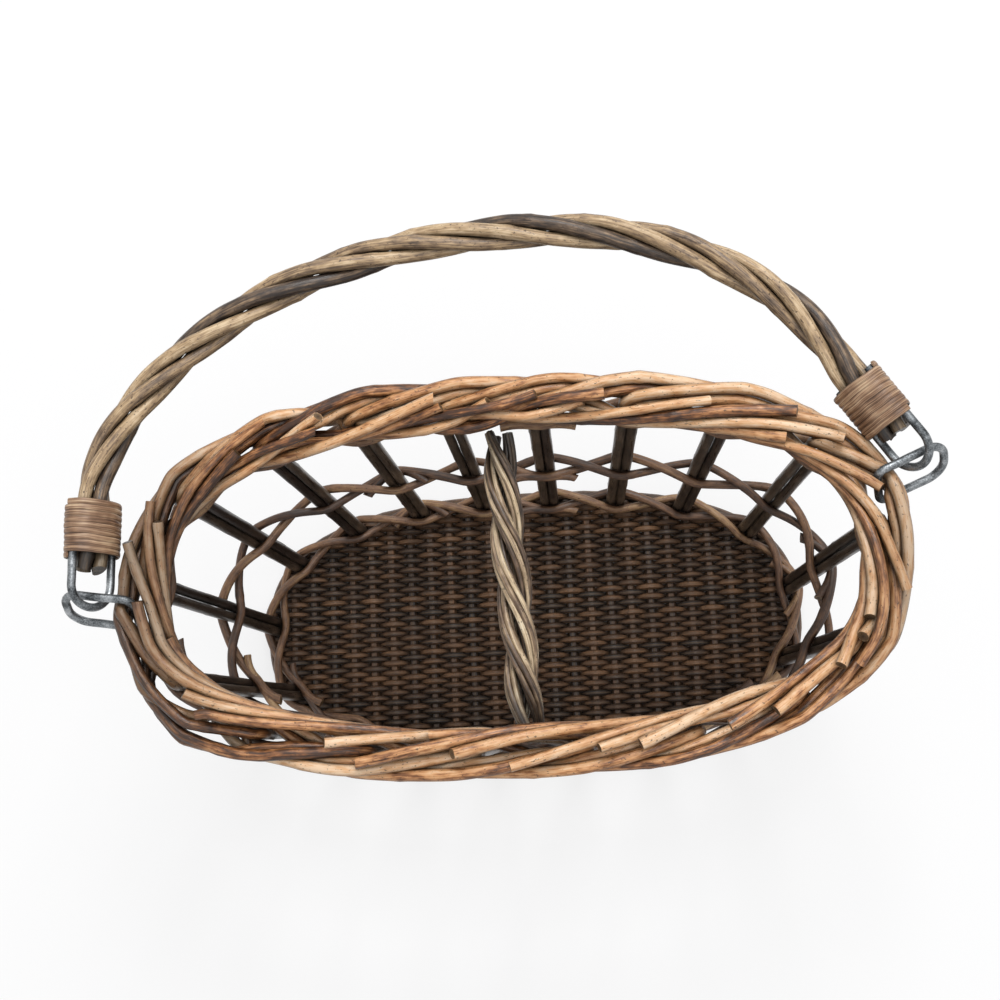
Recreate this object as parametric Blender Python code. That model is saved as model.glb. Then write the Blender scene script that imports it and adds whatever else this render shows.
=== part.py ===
"""Willow bottle basket: an oval open-work basket for two tall bottles, with a swinging handle.

Run with:  blender --background --python part.py

Frame: +X along the basket, +Y towards the side on which the handle lies, +Z up, metres.
The origin is the middle of the flat underside.

How the basket is built. Eighteen pairs of willow stakes stand on an oval woven base. Two rods
are twined round the pairs at the foot, at mid height and under the rim. At the top each pair
leans out, turns along the rim and rolls round it: outside, under, inside and back over the top,
where it is cut off. These runs together are the border. A closed iron ring lies round the
border's rods at each end, an iron eye hangs on each ring, and the rope-twisted handle is bound
to the eyes. A twisted divider crosses the middle.

What moves: the handle swings on the rings' upper legs, and each ring rocks in the border. These
pieces have their origins on the axis they turn about.
"""
import math

import bmesh
import bpy
from mathutils import Matrix, Vector

MM = 0.001

# Wall and border
PAIR_COUNT = 18
RIM_HALF_LENGTH = 131.4 * MM
RIM_HALF_WIDTH = 61.8 * MM
FOOT_HALF_LENGTH = 119.0 * MM
FOOT_HALF_WIDTH = 55.5 * MM
OVAL_SQUARENESS = 2.6
RIM_HEIGHT = 179.0 * MM
STAKE_DIAMETER = 4.2 * MM
BORDER_RADIUS = 7.4 * MM
BORDER_TURN_PER_PITCH = math.radians(108)
BORDER_RUN_TURN = math.radians(300)
BORDER_TAIL_LIFT = 1.6 * MM
BEND_START_DEPTH = 3.5 * MM
BEND_RISE = 5.2 * MM
BEND_REACH = 9.0 * MM
BEND_CREST = 0.6 * MM
CLEARANCE = 0.35 * MM

# Base
BASE_THICKNESS = 6.4 * MM
STAKE_SEAT_GAP = 0.5 * MM
BASE_OVERHANG = 6.5 * MM
BASE_EDGE_ROUND = 2.6 * MM
BASE_RIDGE_PITCH = 5.0 * MM
BASE_RIDGE_HEIGHT = 1.8 * MM

# Twined rods
WEAVER_DIAMETER = 3.8 * MM
FOOT_WALE_HEIGHT = 13.5 * MM
MID_FITCH_SHARE = 0.45
TOP_WALE_DROP = 17.0 * MM
CROSSING_GAP = 0.5 * MM

# Divider
DIVIDER_ROD_DIAMETER = 6.2 * MM
DIVIDER_ROD_COUNT = 3
DIVIDER_LAY = 75.0 * MM
DIVIDER_SEAT_GAP = 1.2 * MM
LAID_ROD_GAP = 0.5 * MM

# Iron rings in the border
RING_WIRE = 3.0 * MM
RING_HALF_WIDTH = 8.2 * MM
RING_INNER_REACH = 2.5 * MM
RING_OUTER_REACH = 28.0 * MM
RING_INNER_CORNER = 3.2 * MM
RING_OUTER_CORNER = 4.5 * MM
RING_TILT = math.radians(60)
RING_YAW = math.radians(16)
RING_DROP = 0.75 * MM
RING_STATION = -0.32
RING_SETBACK = 15.2 * MM
STAKE_DRIFT = 7.2 * MM
RING_CORNER_STEPS = 3

# Handle, eyes and bindings
HANDLE_REACH = 107.5 * MM
HANDLE_SKEW = 0.07
HANDLE_ROD_DIAMETER = 4.8 * MM
HANDLE_ROD_COUNT = 4
HANDLE_LAY = 115.0 * MM
HANDLE_FOOT_LENGTH = 36.0 * MM
HANDLE_RIGHT_LEAN = math.radians(24)
HANDLE_LEFT_LEAN = math.radians(12)
HANDLE_ROD_START = 11.5 * MM
HANDLE_RIGHT_SHOULDER = 6.0 * MM
HANDLE_LEFT_SHOULDER = 26.0 * MM
HANDLE_RIGHT_CROWN = 117.0 * MM
HANDLE_LEFT_CROWN = 82.0 * MM
EYE_WIRE = 3.0 * MM
EYE_CONTACT_REACH = 17.5 * MM
EYE_TILT = math.radians(36)
EYE_LEG_END = 36.0 * MM
EYE_SLACK = 1.0 * MM
EYE_TURN_STEPS = 10
BINDING_START = 14.0 * MM
BINDING_WIRE = 1.6 * MM
BINDING_PITCH = 2.1 * MM
BINDING_TURNS = 10

# Mesh fineness
OVAL_SAMPLES = 1440
ROD_SIDES = 6
WIRE_SIDES = 8
BINDING_POINTS_PER_TURN = 14
HANDLE_STEPS = 38
DIVIDER_STEPS = 18
BEND_STEPS = 5
ROLL_STEPS = 11
SHARP_EDGE = math.radians(50)

UP = Vector((0, 0, 1))


def clear_scene():
    for item in list(bpy.data.objects):
        bpy.data.objects.remove(item, do_unlink=True)


def material(name, colour, roughness, metallic=0):
    made = bpy.data.materials.new(name)
    made.use_nodes = True
    shader = made.node_tree.nodes["Principled BSDF"]
    shader.inputs["Base Color"].default_value = (*colour, 1)
    shader.inputs["Roughness"].default_value = roughness
    shader.inputs["Metallic"].default_value = metallic
    made.diffuse_color = (*colour, 1)
    return made


# The oval of the rim, measured along its own length

def oval_point(angle):
    """Point of the rim's centre line at an angle of the superellipse."""
    power = 2 / OVAL_SQUARENESS
    cosine, sine = math.cos(angle), math.sin(angle)
    x = RIM_HALF_LENGTH * math.copysign(abs(cosine) ** power, cosine)
    y = RIM_HALF_WIDTH * math.copysign(abs(sine) ** power, sine)
    return Vector((x, y, 0))


def oval_table():
    """Points of the rim clockwise from +X, seen from above, with the length run so far."""
    points = [oval_point(-2 * math.pi * step / OVAL_SAMPLES) for step in range(OVAL_SAMPLES + 1)]
    lengths = [0.0]
    for before, after in zip(points, points[1:]):
        lengths.append(lengths[-1] + (after - before).length)
    return points, lengths


OVAL_POINTS, OVAL_LENGTHS = oval_table()
PITCH = OVAL_LENGTHS[-1] / PAIR_COUNT


def rim_at(station):
    """Rim point at a station, counted in pitches clockwise from the first pair.

    The rings are half a round apart, both a little before the oval's tips, and the stakes stand
    a little wider on the near side than on the far side.
    """
    from_ring = station - RING_STATION
    drift = STAKE_DRIFT * math.cos(2 * math.pi * from_ring / PAIR_COUNT)
    wanted = (from_ring * PITCH - RING_SETBACK - drift) % OVAL_LENGTHS[-1]
    low, high = 0, OVAL_SAMPLES
    while high - low > 1:
        middle = (low + high) // 2
        if OVAL_LENGTHS[middle] <= wanted:
            low = middle
        else:
            high = middle
    part = (wanted - OVAL_LENGTHS[low]) / (OVAL_LENGTHS[high] - OVAL_LENGTHS[low])
    return OVAL_POINTS[low].lerp(OVAL_POINTS[high], part)


def along(station):
    """Unit vector along the rim, clockwise."""
    step_share = 0.02
    return (rim_at(station + step_share) - rim_at(station - step_share)).normalized()


def outward(station):
    return UP.cross(along(station))


def wall_point(station, out, height):
    """A place on the flared wall: out is measured from the wall's middle line."""
    rim = rim_at(station)
    share = height / RIM_HEIGHT
    half_length = FOOT_HALF_LENGTH + (RIM_HALF_LENGTH - FOOT_HALF_LENGTH) * share
    half_width = FOOT_HALF_WIDTH + (RIM_HALF_WIDTH - FOOT_HALF_WIDTH) * share
    x = rim.x * half_length / RIM_HALF_LENGTH
    y = rim.y * half_width / RIM_HALF_WIDTH
    return Vector((x, y, height)) + outward(station) * out


# Solids made by skinning a run of sections

def skin(name, sections, closed, finish):
    """One closed solid through equal sections; an open run gets a cap at each end."""
    mesh = bpy.data.meshes.new(name)
    shape = bmesh.new()
    rings = [[shape.verts.new(point) for point in section] for section in sections]
    count = len(rings[0])
    pairs = list(zip(rings, rings[1:]))
    if closed:
        pairs.append((rings[-1], rings[0]))
    for before, after in pairs:
        for side in range(count):
            following = (side + 1) % count
            shape.faces.new((before[side], before[following], after[following], after[side]))
    if not closed:
        shape.faces.new(list(reversed(rings[0])))
        shape.faces.new(rings[-1])
    bmesh.ops.recalc_face_normals(shape, faces=shape.faces)
    shape.to_mesh(mesh)
    shape.free()
    mesh.materials.append(finish)
    made = bpy.data.objects.new(name, mesh)
    bpy.context.scene.collection.objects.link(made)
    mesh.shade_smooth()
    mesh.set_sharp_from_angle(angle=SHARP_EDGE)
    return made


def set_origin(made, place):
    """Put a solid's origin on its joint's axis and leave the solid where it is."""
    made.data.transform(Matrix.Translation(-place))
    made.location = place


def directions(points, closed):
    """Unit tangent at each point of a run."""
    count = len(points)
    found = []
    for index in range(count):
        if closed:
            before, after = points[index - 1], points[(index + 1) % count]
        else:
            before, after = points[max(index - 1, 0)], points[min(index + 1, count - 1)]
        found.append((after - before).normalized())
    return found


def tube(name, points, diameter, references, finish, closed=False, sides=ROD_SIDES):
    """A round rod or wire along points; references keep its sides from twisting."""
    sections = []
    radius = diameter / 2
    for point, tangent, reference in zip(points, directions(points, closed), references):
        side = tangent.cross(reference).normalized()
        lift = side.cross(tangent)
        turn = 2 * math.pi / sides
        sections.append([
            point + (side * math.cos(turn * n) + lift * math.sin(turn * n)) * radius
            for n in range(sides)
        ])
    return skin(name, sections, closed, finish)


# Stake pairs and the rolled border

MID_FITCH_HEIGHT = RIM_HEIGHT * MID_FITCH_SHARE
TOP_WALE_HEIGHT = RIM_HEIGHT - TOP_WALE_DROP
STAKE_RADIUS = STAKE_DIAMETER / 2
ROLL_SLOPE = BORDER_RADIUS * BORDER_TURN_PER_PITCH / PITCH
STAKE_TWIST = math.atan(ROLL_SLOPE)
# Each rising pair passes midway between two runs below the core, which sets where it turns out
BEND_PITCHES = 1.5 - math.pi / 2 / BORDER_TURN_PER_PITCH
# Outline of two rods side by side: across the pair, then through it, in rod radii
PAIR_SECTION_SHARES = (
    (2.0, 0.0), (1.25, 0.95), (0.0, 0.45), (-1.25, 0.95),
    (-2.0, 0.0), (-1.25, -0.95), (0.0, -0.45), (1.25, -0.95),
)


def border_vectors(station):
    return along(station), outward(station), UP


def stake_path(pair):
    """Points of one pair and the direction across it, from foot to cut end."""
    points, widths = [], []
    foot = BASE_THICKNESS + BASE_RIDGE_HEIGHT + STAKE_SEAT_GAP
    bend_start = RIM_HEIGHT - BEND_START_DEPTH
    heights = (foot, MID_FITCH_HEIGHT, (MID_FITCH_HEIGHT + TOP_WALE_HEIGHT) / 2,
               TOP_WALE_HEIGHT, bend_start)
    run, out, _ = border_vectors(pair)
    for height in heights:
        twist_share = (height - MID_FITCH_HEIGHT) / (TOP_WALE_HEIGHT - MID_FITCH_HEIGHT)
        twist = STAKE_TWIST * min(max(twist_share, 0), 1)
        points.append(wall_point(pair, 0, height))
        widths.append(run * math.cos(twist) - out * math.sin(twist))
    start_width = widths[-1]

    # The bend: up out of the wall, over to the outer side of the border
    bend_length = BEND_PITCHES * PITCH
    controls = (
        (0, 0, -BEND_START_DEPTH),
        (0, 0, BEND_RISE - BEND_START_DEPTH),
        (bend_length - BEND_REACH, BORDER_RADIUS, BEND_CREST),
        (bend_length, BORDER_RADIUS, 0),
    )
    for step in range(1, BEND_STEPS):
        part = step / BEND_STEPS
        weights = ((1 - part) ** 3, 3 * part * (1 - part) ** 2, 3 * part ** 2 * (1 - part), part ** 3)
        travel, away, lift = (
            sum(weight * control[axis] for weight, control in zip(weights, controls))
            for axis in range(3)
        )
        station = pair + travel / PITCH
        points.append(wall_point(station, away, RIM_HEIGHT + lift))
        widths.append((start_width * (1 - part) - UP * part).normalized())

    # The roll: round the border's core, outer side first, then under, inside and over
    for step in range(ROLL_STEPS + 1):
        angle = -BORDER_RUN_TURN * step / ROLL_STEPS
        station = pair + BEND_PITCHES - angle / BORDER_TURN_PER_PITCH
        away = BORDER_RADIUS * math.cos(angle)
        tail_share = max(0, -angle - math.pi) / (BORDER_RUN_TURN - math.pi)
        lift = BORDER_RADIUS * math.sin(angle) + BORDER_TAIL_LIFT * tail_share
        points.append(wall_point(station, away, RIM_HEIGHT + lift))
        widths.append(outward(station) * math.sin(angle) - UP * math.cos(angle))
    return points, widths


def make_stake_pair(pair, finish):
    points, widths = stake_path(pair)
    sections = []
    for point, tangent, width in zip(points, directions(points, False), widths):
        across = (width - tangent * width.dot(tangent)).normalized()
        through = tangent.cross(across)
        sections.append([
            point + (across * wide + through * thick) * STAKE_RADIUS
            for wide, thick in PAIR_SECTION_SHARES
        ])
    return skin(f"stake_pair_{pair + 1:02d}", sections, False, finish)


# Twined rods

def make_twining(name, height, twist, finish):
    """Two rods that pass either side of every pair and cross between pairs."""
    weaver_radius = WEAVER_DIAMETER / 2
    half_depth = STAKE_RADIUS * (1 + abs(math.sin(twist)))
    reach = half_depth + CLEARANCE + weaver_radius
    rise = weaver_radius + CROSSING_GAP / 2
    flat_shares = (-0.21, 0.0, 0.21)
    crossing_share = 0.5
    for strand in range(2):
        points = []
        for pair in range(PAIR_COUNT):
            side = 1 if (pair + strand) % 2 == 0 else -1
            for share in flat_shares:
                lift = side * rise * math.sin(math.pi * share)
                points.append(wall_point(pair + share, side * reach, height + lift))
            points.append(wall_point(pair + crossing_share, 0, height + side * rise))
        tube(f"{name}_{strand + 1}", points, WEAVER_DIAMETER, [UP] * len(points), finish, closed=True)


# Base

def make_base(finish):
    """An oval mat, flat below, with lengthwise ridges above where the weavers lie."""
    half_length = FOOT_HALF_LENGTH + BASE_OVERHANG
    half_width = FOOT_HALF_WIDTH + BASE_OVERHANG
    ridge_count = 2 * round(half_width / BASE_RIDGE_PITCH)
    rows_per_ridge = 2
    rows = ridge_count * rows_per_ridge
    end_rows_shares = (0.995, 0.97, 0.93)
    shares = [-share for share in end_rows_shares]
    inner = end_rows_shares[-1]
    shares += [inner * (2 * row / rows - 1) for row in range(1, rows)]
    shares += list(reversed(end_rows_shares))
    sections = []
    for index, share in enumerate(shares):
        reach = half_length * (1 - abs(share) ** OVAL_SQUARENESS) ** (1 / OVAL_SQUARENESS)
        y = half_width * share
        ridge = BASE_RIDGE_HEIGHT if index % 2 == 0 else 0
        top = BASE_THICKNESS + ridge - BASE_RIDGE_HEIGHT * (abs(share) > inner)
        inset = BASE_EDGE_ROUND
        sections.append([
            Vector((-reach + inset, y, 0)), Vector((-reach, y, inset)),
            Vector((-reach, y, top - inset)), Vector((-reach + inset, y, top)),
            Vector((reach - inset, y, top)), Vector((reach, y, top - inset)),
            Vector((reach, y, inset)), Vector((reach - inset, y, 0)),
        ])
    skin("base_mat", sections, False, finish)


# Divider

def laid_radius(diameter, count):
    """How far from the middle of a twist its rods lie."""
    return (diameter + LAID_ROD_GAP) / (2 * math.sin(math.pi / count))


def make_divider(finish):
    """Three thick strands laid together across the middle, butted to the rods under the rim."""
    helix = laid_radius(DIVIDER_ROD_DIAMETER, DIVIDER_ROD_COUNT)
    wall_share = TOP_WALE_HEIGHT / RIM_HEIGHT
    wall = FOOT_HALF_WIDTH + (RIM_HALF_WIDTH - FOOT_HALF_WIDTH) * wall_share
    seat = STAKE_RADIUS * (1 + math.sin(STAKE_TWIST)) + WEAVER_DIAMETER
    half_span = wall - seat - DIVIDER_SEAT_GAP
    for strand in range(DIVIDER_ROD_COUNT):
        points = []
        for step in range(DIVIDER_STEPS + 1):
            y = half_span * (2 * step / DIVIDER_STEPS - 1)
            angle = 2 * math.pi * (y / DIVIDER_LAY + strand / DIVIDER_ROD_COUNT)
            points.append(Vector((helix * math.cos(angle), y, TOP_WALE_HEIGHT + helix * math.sin(angle))))
        tube(f"divider_strand_{strand + 1}", points, DIVIDER_ROD_DIAMETER, [UP] * len(points), finish)


# Iron rings

def ring_core(end):
    """Place in the middle of the border where a ring is hooked in: end is 1 at +X, -1 at -X."""
    return wall_point(RING_STATION if end > 0 else RING_STATION + PAIR_COUNT / 2, 0, RIM_HEIGHT)


def ring_line():
    """Along the line through both rings, and level across it towards the handle's side."""
    axis = (ring_core(1) - ring_core(-1)).normalized()
    return axis, UP.cross(axis)


def ring_directions(end):
    """Along a ring and up across it: it points a little to the handle's side and leans over."""
    axis, back = ring_line()
    lengthwise = axis * (end * math.cos(RING_YAW)) + back * math.sin(RING_YAW)
    level = back * math.cos(RING_YAW) - axis * (end * math.sin(RING_YAW))
    return lengthwise, level * math.cos(RING_TILT) + UP * math.sin(RING_TILT)


def ring_point(away, aside, end):
    """A place in the ring's plane: away from the border's core, aside towards its upper leg."""
    lengthwise, upward = ring_directions(end)
    return ring_core(end) - UP * RING_DROP + lengthwise * away + upward * aside


def ring_outline():
    """The ring as a rounded oblong: tight corners in the border, wider ones outside it."""
    outline = []
    for corner in range(4):
        outer, upper = corner in (0, 3), corner in (0, 1)
        radius = RING_OUTER_CORNER if outer else RING_INNER_CORNER
        away = RING_OUTER_REACH - radius if outer else RING_INNER_REACH + radius
        aside = (RING_HALF_WIDTH - radius) * (1 if upper else -1)
        for step in range(RING_CORNER_STEPS + 1):
            angle = math.pi / 2 * (corner + step / RING_CORNER_STEPS)
            outline.append((away + radius * math.cos(angle), aside + radius * math.sin(angle)))
    return outline


def make_ring(name, end, finish):
    """A closed wire round the border's rods; it rocks about the border's outer side."""
    points = [ring_point(away, aside, end) for away, aside in ring_outline()]
    lengthwise, upward = ring_directions(end)
    normal = lengthwise.cross(upward)
    made = tube(name, points, RING_WIRE, [normal] * len(points), finish, closed=True, sides=WIRE_SIDES)
    set_origin(made, ring_point(BORDER_RADIUS, 0, end))


# Handle

def handle_frame():
    """The swing axis runs through both rings' upper legs; the handle lies back from it."""
    right = ring_point(EYE_CONTACT_REACH, RING_HALF_WIDTH, 1)
    left = ring_point(EYE_CONTACT_REACH, RING_HALF_WIDTH, -1)
    middle = (left + right) / 2
    axis = (right - left).normalized()
    back = UP.cross(axis)
    return middle, axis, back, axis.cross(back), (right - left).length / 2


def half_arch(start, lean, shoulder, crown):
    """One side of the handle's centre line in its own plane, from its foot to the middle."""
    _, _, _, _, half_span = handle_frame()
    sine, cosine = math.sin(lean), math.cos(lean)
    foot_top = (half_span - HANDLE_FOOT_LENGTH * sine, HANDLE_FOOT_LENGTH * cosine)
    controls = (
        foot_top,
        (foot_top[0] - shoulder * sine, foot_top[1] + shoulder * cosine),
        (crown, HANDLE_REACH),
        (0, HANDLE_REACH),
    )
    side = [(half_span - start * sine, start * cosine)]
    samples = 60
    for step in range(samples + 1):
        part = step / samples
        weights = ((1 - part) ** 3, 3 * part * (1 - part) ** 2, 3 * part ** 2 * (1 - part), part ** 3)
        side.append(tuple(
            sum(weight * control[axis] for weight, control in zip(weights, controls))
            for axis in range(2)
        ))
    return side


def handle_path(start):
    """Centre line of the whole arch, from the right foot to the left.

    The arch was bent by hand: its right side stands wider than its left, and it is a little
    askew, so each point shifts sideways with its distance back.
    """
    right = half_arch(start, HANDLE_RIGHT_LEAN, HANDLE_RIGHT_SHOULDER, HANDLE_RIGHT_CROWN)
    left = half_arch(start, HANDLE_LEFT_LEAN, HANDLE_LEFT_SHOULDER, HANDLE_LEFT_CROWN)
    arch = right + [(-wide, back) for wide, back in reversed(left[:-1])]
    return [(wide - HANDLE_SKEW * back, back) for wide, back in arch]


def even_points(points, steps):
    """The same line with evenly spaced points."""
    lengths = [0.0]
    for before, after in zip(points, points[1:]):
        lengths.append(lengths[-1] + math.dist(before, after))
    even = []
    index = 0
    for step in range(steps + 1):
        wanted = lengths[-1] * step / steps
        while index < len(lengths) - 2 and lengths[index + 1] < wanted:
            index += 1
        part = (wanted - lengths[index]) / (lengths[index + 1] - lengths[index])
        before, after = points[index], points[index + 1]
        even.append(tuple(low + (high - low) * part for low, high in zip(before, after)))
    return even, lengths[-1]


def make_handle(finish):
    middle, axis, back, face, _ = handle_frame()
    flat, length = even_points(handle_path(HANDLE_ROD_START), HANDLE_STEPS)
    centre = [middle + axis * wide + back * away for wide, away in flat]
    tangents = directions(centre, False)
    helix = laid_radius(HANDLE_ROD_DIAMETER, HANDLE_ROD_COUNT)
    for rod in range(HANDLE_ROD_COUNT):
        points = []
        for step, (point, tangent) in enumerate(zip(centre, tangents)):
            travelled = length * step / HANDLE_STEPS
            angle = 2 * math.pi * (travelled / HANDLE_LAY + rod / HANDLE_ROD_COUNT)
            side = face.cross(tangent)
            points.append(point + (side * math.cos(angle) + face * math.sin(angle)) * helix)
        made = tube(
            f"handle_rod_{rod + 1}", points, HANDLE_ROD_DIAMETER, [face] * len(points), finish
        )
        set_origin(made, middle)


def foot_frame(end):
    """Start, direction up the foot and the direction in which the eye's legs stand apart."""
    middle, axis, back, face, half_span = handle_frame()
    start = middle + axis * (half_span * end)
    lean = HANDLE_RIGHT_LEAN if end > 0 else HANDLE_LEFT_LEAN
    up_foot = (back - axis * (end * math.tan(lean) + HANDLE_SKEW)).normalized()
    beside = face.cross(up_foot) * end
    apart = face * math.cos(EYE_TILT) - beside * math.sin(EYE_TILT)
    return start, up_foot, apart


HANDLE_RADIUS = laid_radius(HANDLE_ROD_DIAMETER, HANDLE_ROD_COUNT) + HANDLE_ROD_DIAMETER / 2
EYE_HALF_WIDTH = HANDLE_RADIUS + CLEARANCE + EYE_WIRE / 2
EYE_TURN_CENTRE = EYE_HALF_WIDTH - EYE_WIRE / 2 - RING_WIRE / 2 - EYE_SLACK


def make_eye(name, end, finish):
    """A bent wire whose turn holds the ring and whose legs lie under the binding."""
    start, up_foot, apart = foot_frame(end)
    points = [start + up_foot * EYE_LEG_END + apart * EYE_HALF_WIDTH]
    for step in range(EYE_TURN_STEPS + 1):
        angle = math.pi * step / EYE_TURN_STEPS
        points.append(
            start + up_foot * (EYE_TURN_CENTRE - EYE_HALF_WIDTH * math.sin(angle))
            + apart * (EYE_HALF_WIDTH * math.cos(angle))
        )
    points.append(start + up_foot * EYE_LEG_END - apart * EYE_HALF_WIDTH)
    plane = up_foot.cross(apart)
    made = tube(name, points, EYE_WIRE, [plane] * len(points), finish, sides=WIRE_SIDES)
    set_origin(made, handle_frame()[0])


def make_binding(name, end, finish):
    """One unbroken skein wound round the foot of the handle and the legs of the eye."""
    start, up_foot, apart = foot_frame(end)
    across = up_foot.cross(apart)
    wire_radius = BINDING_WIRE / 2
    seat = CLEARANCE + wire_radius
    long_half = EYE_HALF_WIDTH + EYE_WIRE / 2 + seat
    short_half = HANDLE_RADIUS + seat + CLEARANCE
    steps = BINDING_TURNS * BINDING_POINTS_PER_TURN
    points, references = [], []
    for step in range(steps + 1):
        turn = step / BINDING_POINTS_PER_TURN
        angle = 2 * math.pi * turn
        spoke = apart * (long_half * math.cos(angle)) + across * (short_half * math.sin(angle))
        points.append(start + up_foot * (BINDING_START + BINDING_PITCH * turn) + spoke)
        references.append(up_foot)
    made = tube(name, points, BINDING_WIRE, references, finish)
    set_origin(made, handle_frame()[0])
    report_winding_gap(name, points)


def report_winding_gap(name, points):
    """Print the least gap between turns of the winding, measured on its points."""
    least = min(
        (points[first] - points[second]).length
        for first in range(len(points))
        for second in range(first + BINDING_POINTS_PER_TURN // 2, len(points))
    )
    print(f"{name}: least gap to itself {(least - BINDING_WIRE) / MM:.2f} mm")


def build():
    clear_scene()
    border = material("willow_border", (0.37, 0.17, 0.065), 0.55)
    dark = material("willow_dark", (0.07, 0.045, 0.03), 0.65)
    floor = material("willow_floor", (0.075, 0.045, 0.03), 0.7)
    grey = material("willow_divider", (0.22, 0.16, 0.09), 0.6)
    grip = material("willow_handle", (0.17, 0.12, 0.07), 0.6)
    skein = material("cane_binding", (0.24, 0.11, 0.055), 0.5)
    iron = material("forged_iron", (0.16, 0.17, 0.18), 0.45, 1)

    make_base(floor)
    for pair in range(PAIR_COUNT):
        make_stake_pair(pair, border)
    make_twining("foot_wale", FOOT_WALE_HEIGHT, 0, dark)
    make_twining("mid_fitch", MID_FITCH_HEIGHT, 0, dark)
    make_twining("top_wale", TOP_WALE_HEIGHT, STAKE_TWIST, dark)
    make_divider(grey)
    make_ring("ring_right", 1, iron)
    make_ring("ring_left", -1, iron)
    make_handle(grip)
    make_eye("eye_right", 1, iron)
    make_eye("eye_left", -1, iron)
    make_binding("binding_right", 1, skein)
    make_binding("binding_left", -1, skein)


build()
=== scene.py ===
"""Looks of the willow bottle basket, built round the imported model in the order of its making.

Each section holds one piece or one group of like pieces: its sizes, its lines, its finish and
the body that it rides on. Lengths are metres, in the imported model's frame: +X along the basket,
+Y towards the side on which the handle lies, +Z up.
"""
import math
import random

import bpy
import numpy
from mathutils import Matrix, Vector


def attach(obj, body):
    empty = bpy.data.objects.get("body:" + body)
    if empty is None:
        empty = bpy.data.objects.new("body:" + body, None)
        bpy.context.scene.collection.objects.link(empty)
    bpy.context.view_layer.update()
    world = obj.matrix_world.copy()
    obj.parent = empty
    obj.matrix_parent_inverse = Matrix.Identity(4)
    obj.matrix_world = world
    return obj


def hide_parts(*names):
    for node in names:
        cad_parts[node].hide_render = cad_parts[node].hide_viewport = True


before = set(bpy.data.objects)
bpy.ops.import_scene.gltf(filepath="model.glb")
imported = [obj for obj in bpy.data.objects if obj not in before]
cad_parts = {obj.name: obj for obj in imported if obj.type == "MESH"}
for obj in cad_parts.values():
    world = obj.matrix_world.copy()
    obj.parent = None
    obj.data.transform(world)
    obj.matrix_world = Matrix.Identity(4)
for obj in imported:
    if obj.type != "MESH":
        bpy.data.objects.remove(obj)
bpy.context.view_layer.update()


# Woven base
# An oval mat of thin dark willow rods, woven lengthwise over and under stout sticks that lie
# across. Its edge is closed by rods laid round it.

MM = 0.001
UP = Vector((0, 0, 1))
FOOT_HALF_LENGTH = 119.0 * MM
FOOT_HALF_WIDTH = 55.5 * MM
OVAL_SQUARENESS = 2.6
BASE_THICKNESS = 8.0 * MM
BASE_OVERHANG = 6.5 * MM
CROSS_STICK_PITCH = 9.4 * MM
CROSS_STICK_RADIUS = 2.3 * MM
MAT_ROD_RADIUS = 1.5 * MM
MAT_ROD_PITCH = 2.3 * MM
MAT_POINTS_PER_STICK = 5
MAT_EDGE_RADIUS = 1.9 * MM
MAT_EDGE_INSET = 2.4 * MM
MAT_EDGE_POINTS = 220
MAT_WANDER = 0.25 * MM


def add(tree, kind, inputs=None, **settings):
    """Add a node with its settings; each input is given a value or linked to an output."""
    made = tree.nodes.new(kind)
    for name, value in settings.items():
        setattr(made, name, value)
    for name, value in (inputs or {}).items():
        if isinstance(value, bpy.types.Node):
            value = value.outputs[0]
        if isinstance(value, bpy.types.NodeSocket):
            tree.links.new(value, made.inputs[name])
        else:
            made.inputs[name].default_value = value
    return made


def linear(hex_colour):
    """A colour written as sRGB hex, as linear red, green, blue and alpha."""
    channels = [int(hex_colour[start:start + 2], 16) / 255 for start in (1, 3, 5)]
    return [c / 12.92 if c <= 0.04045 else ((c + 0.055) / 1.055) ** 2.4 for c in channels] + [1]


def new_material(name):
    """An empty node material; returns it, its tree and its output node."""
    made = bpy.data.materials.new(name)
    made.use_nodes = True
    made.node_tree.nodes.clear()
    return made, made.node_tree, add(made.node_tree, "ShaderNodeOutputMaterial")


def ramp(tree, factor, stops):
    """A colour ramp through hex colours at the given places."""
    made = add(tree, "ShaderNodeValToRGB", {"Fac": factor})
    elements = made.color_ramp.elements
    while len(elements) < len(stops):
        elements.new(0.5)
    for element, (place, colour) in zip(elements, stops):
        element.position = place
        element.color = linear(colour)
    return made.outputs["Color"]


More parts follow.
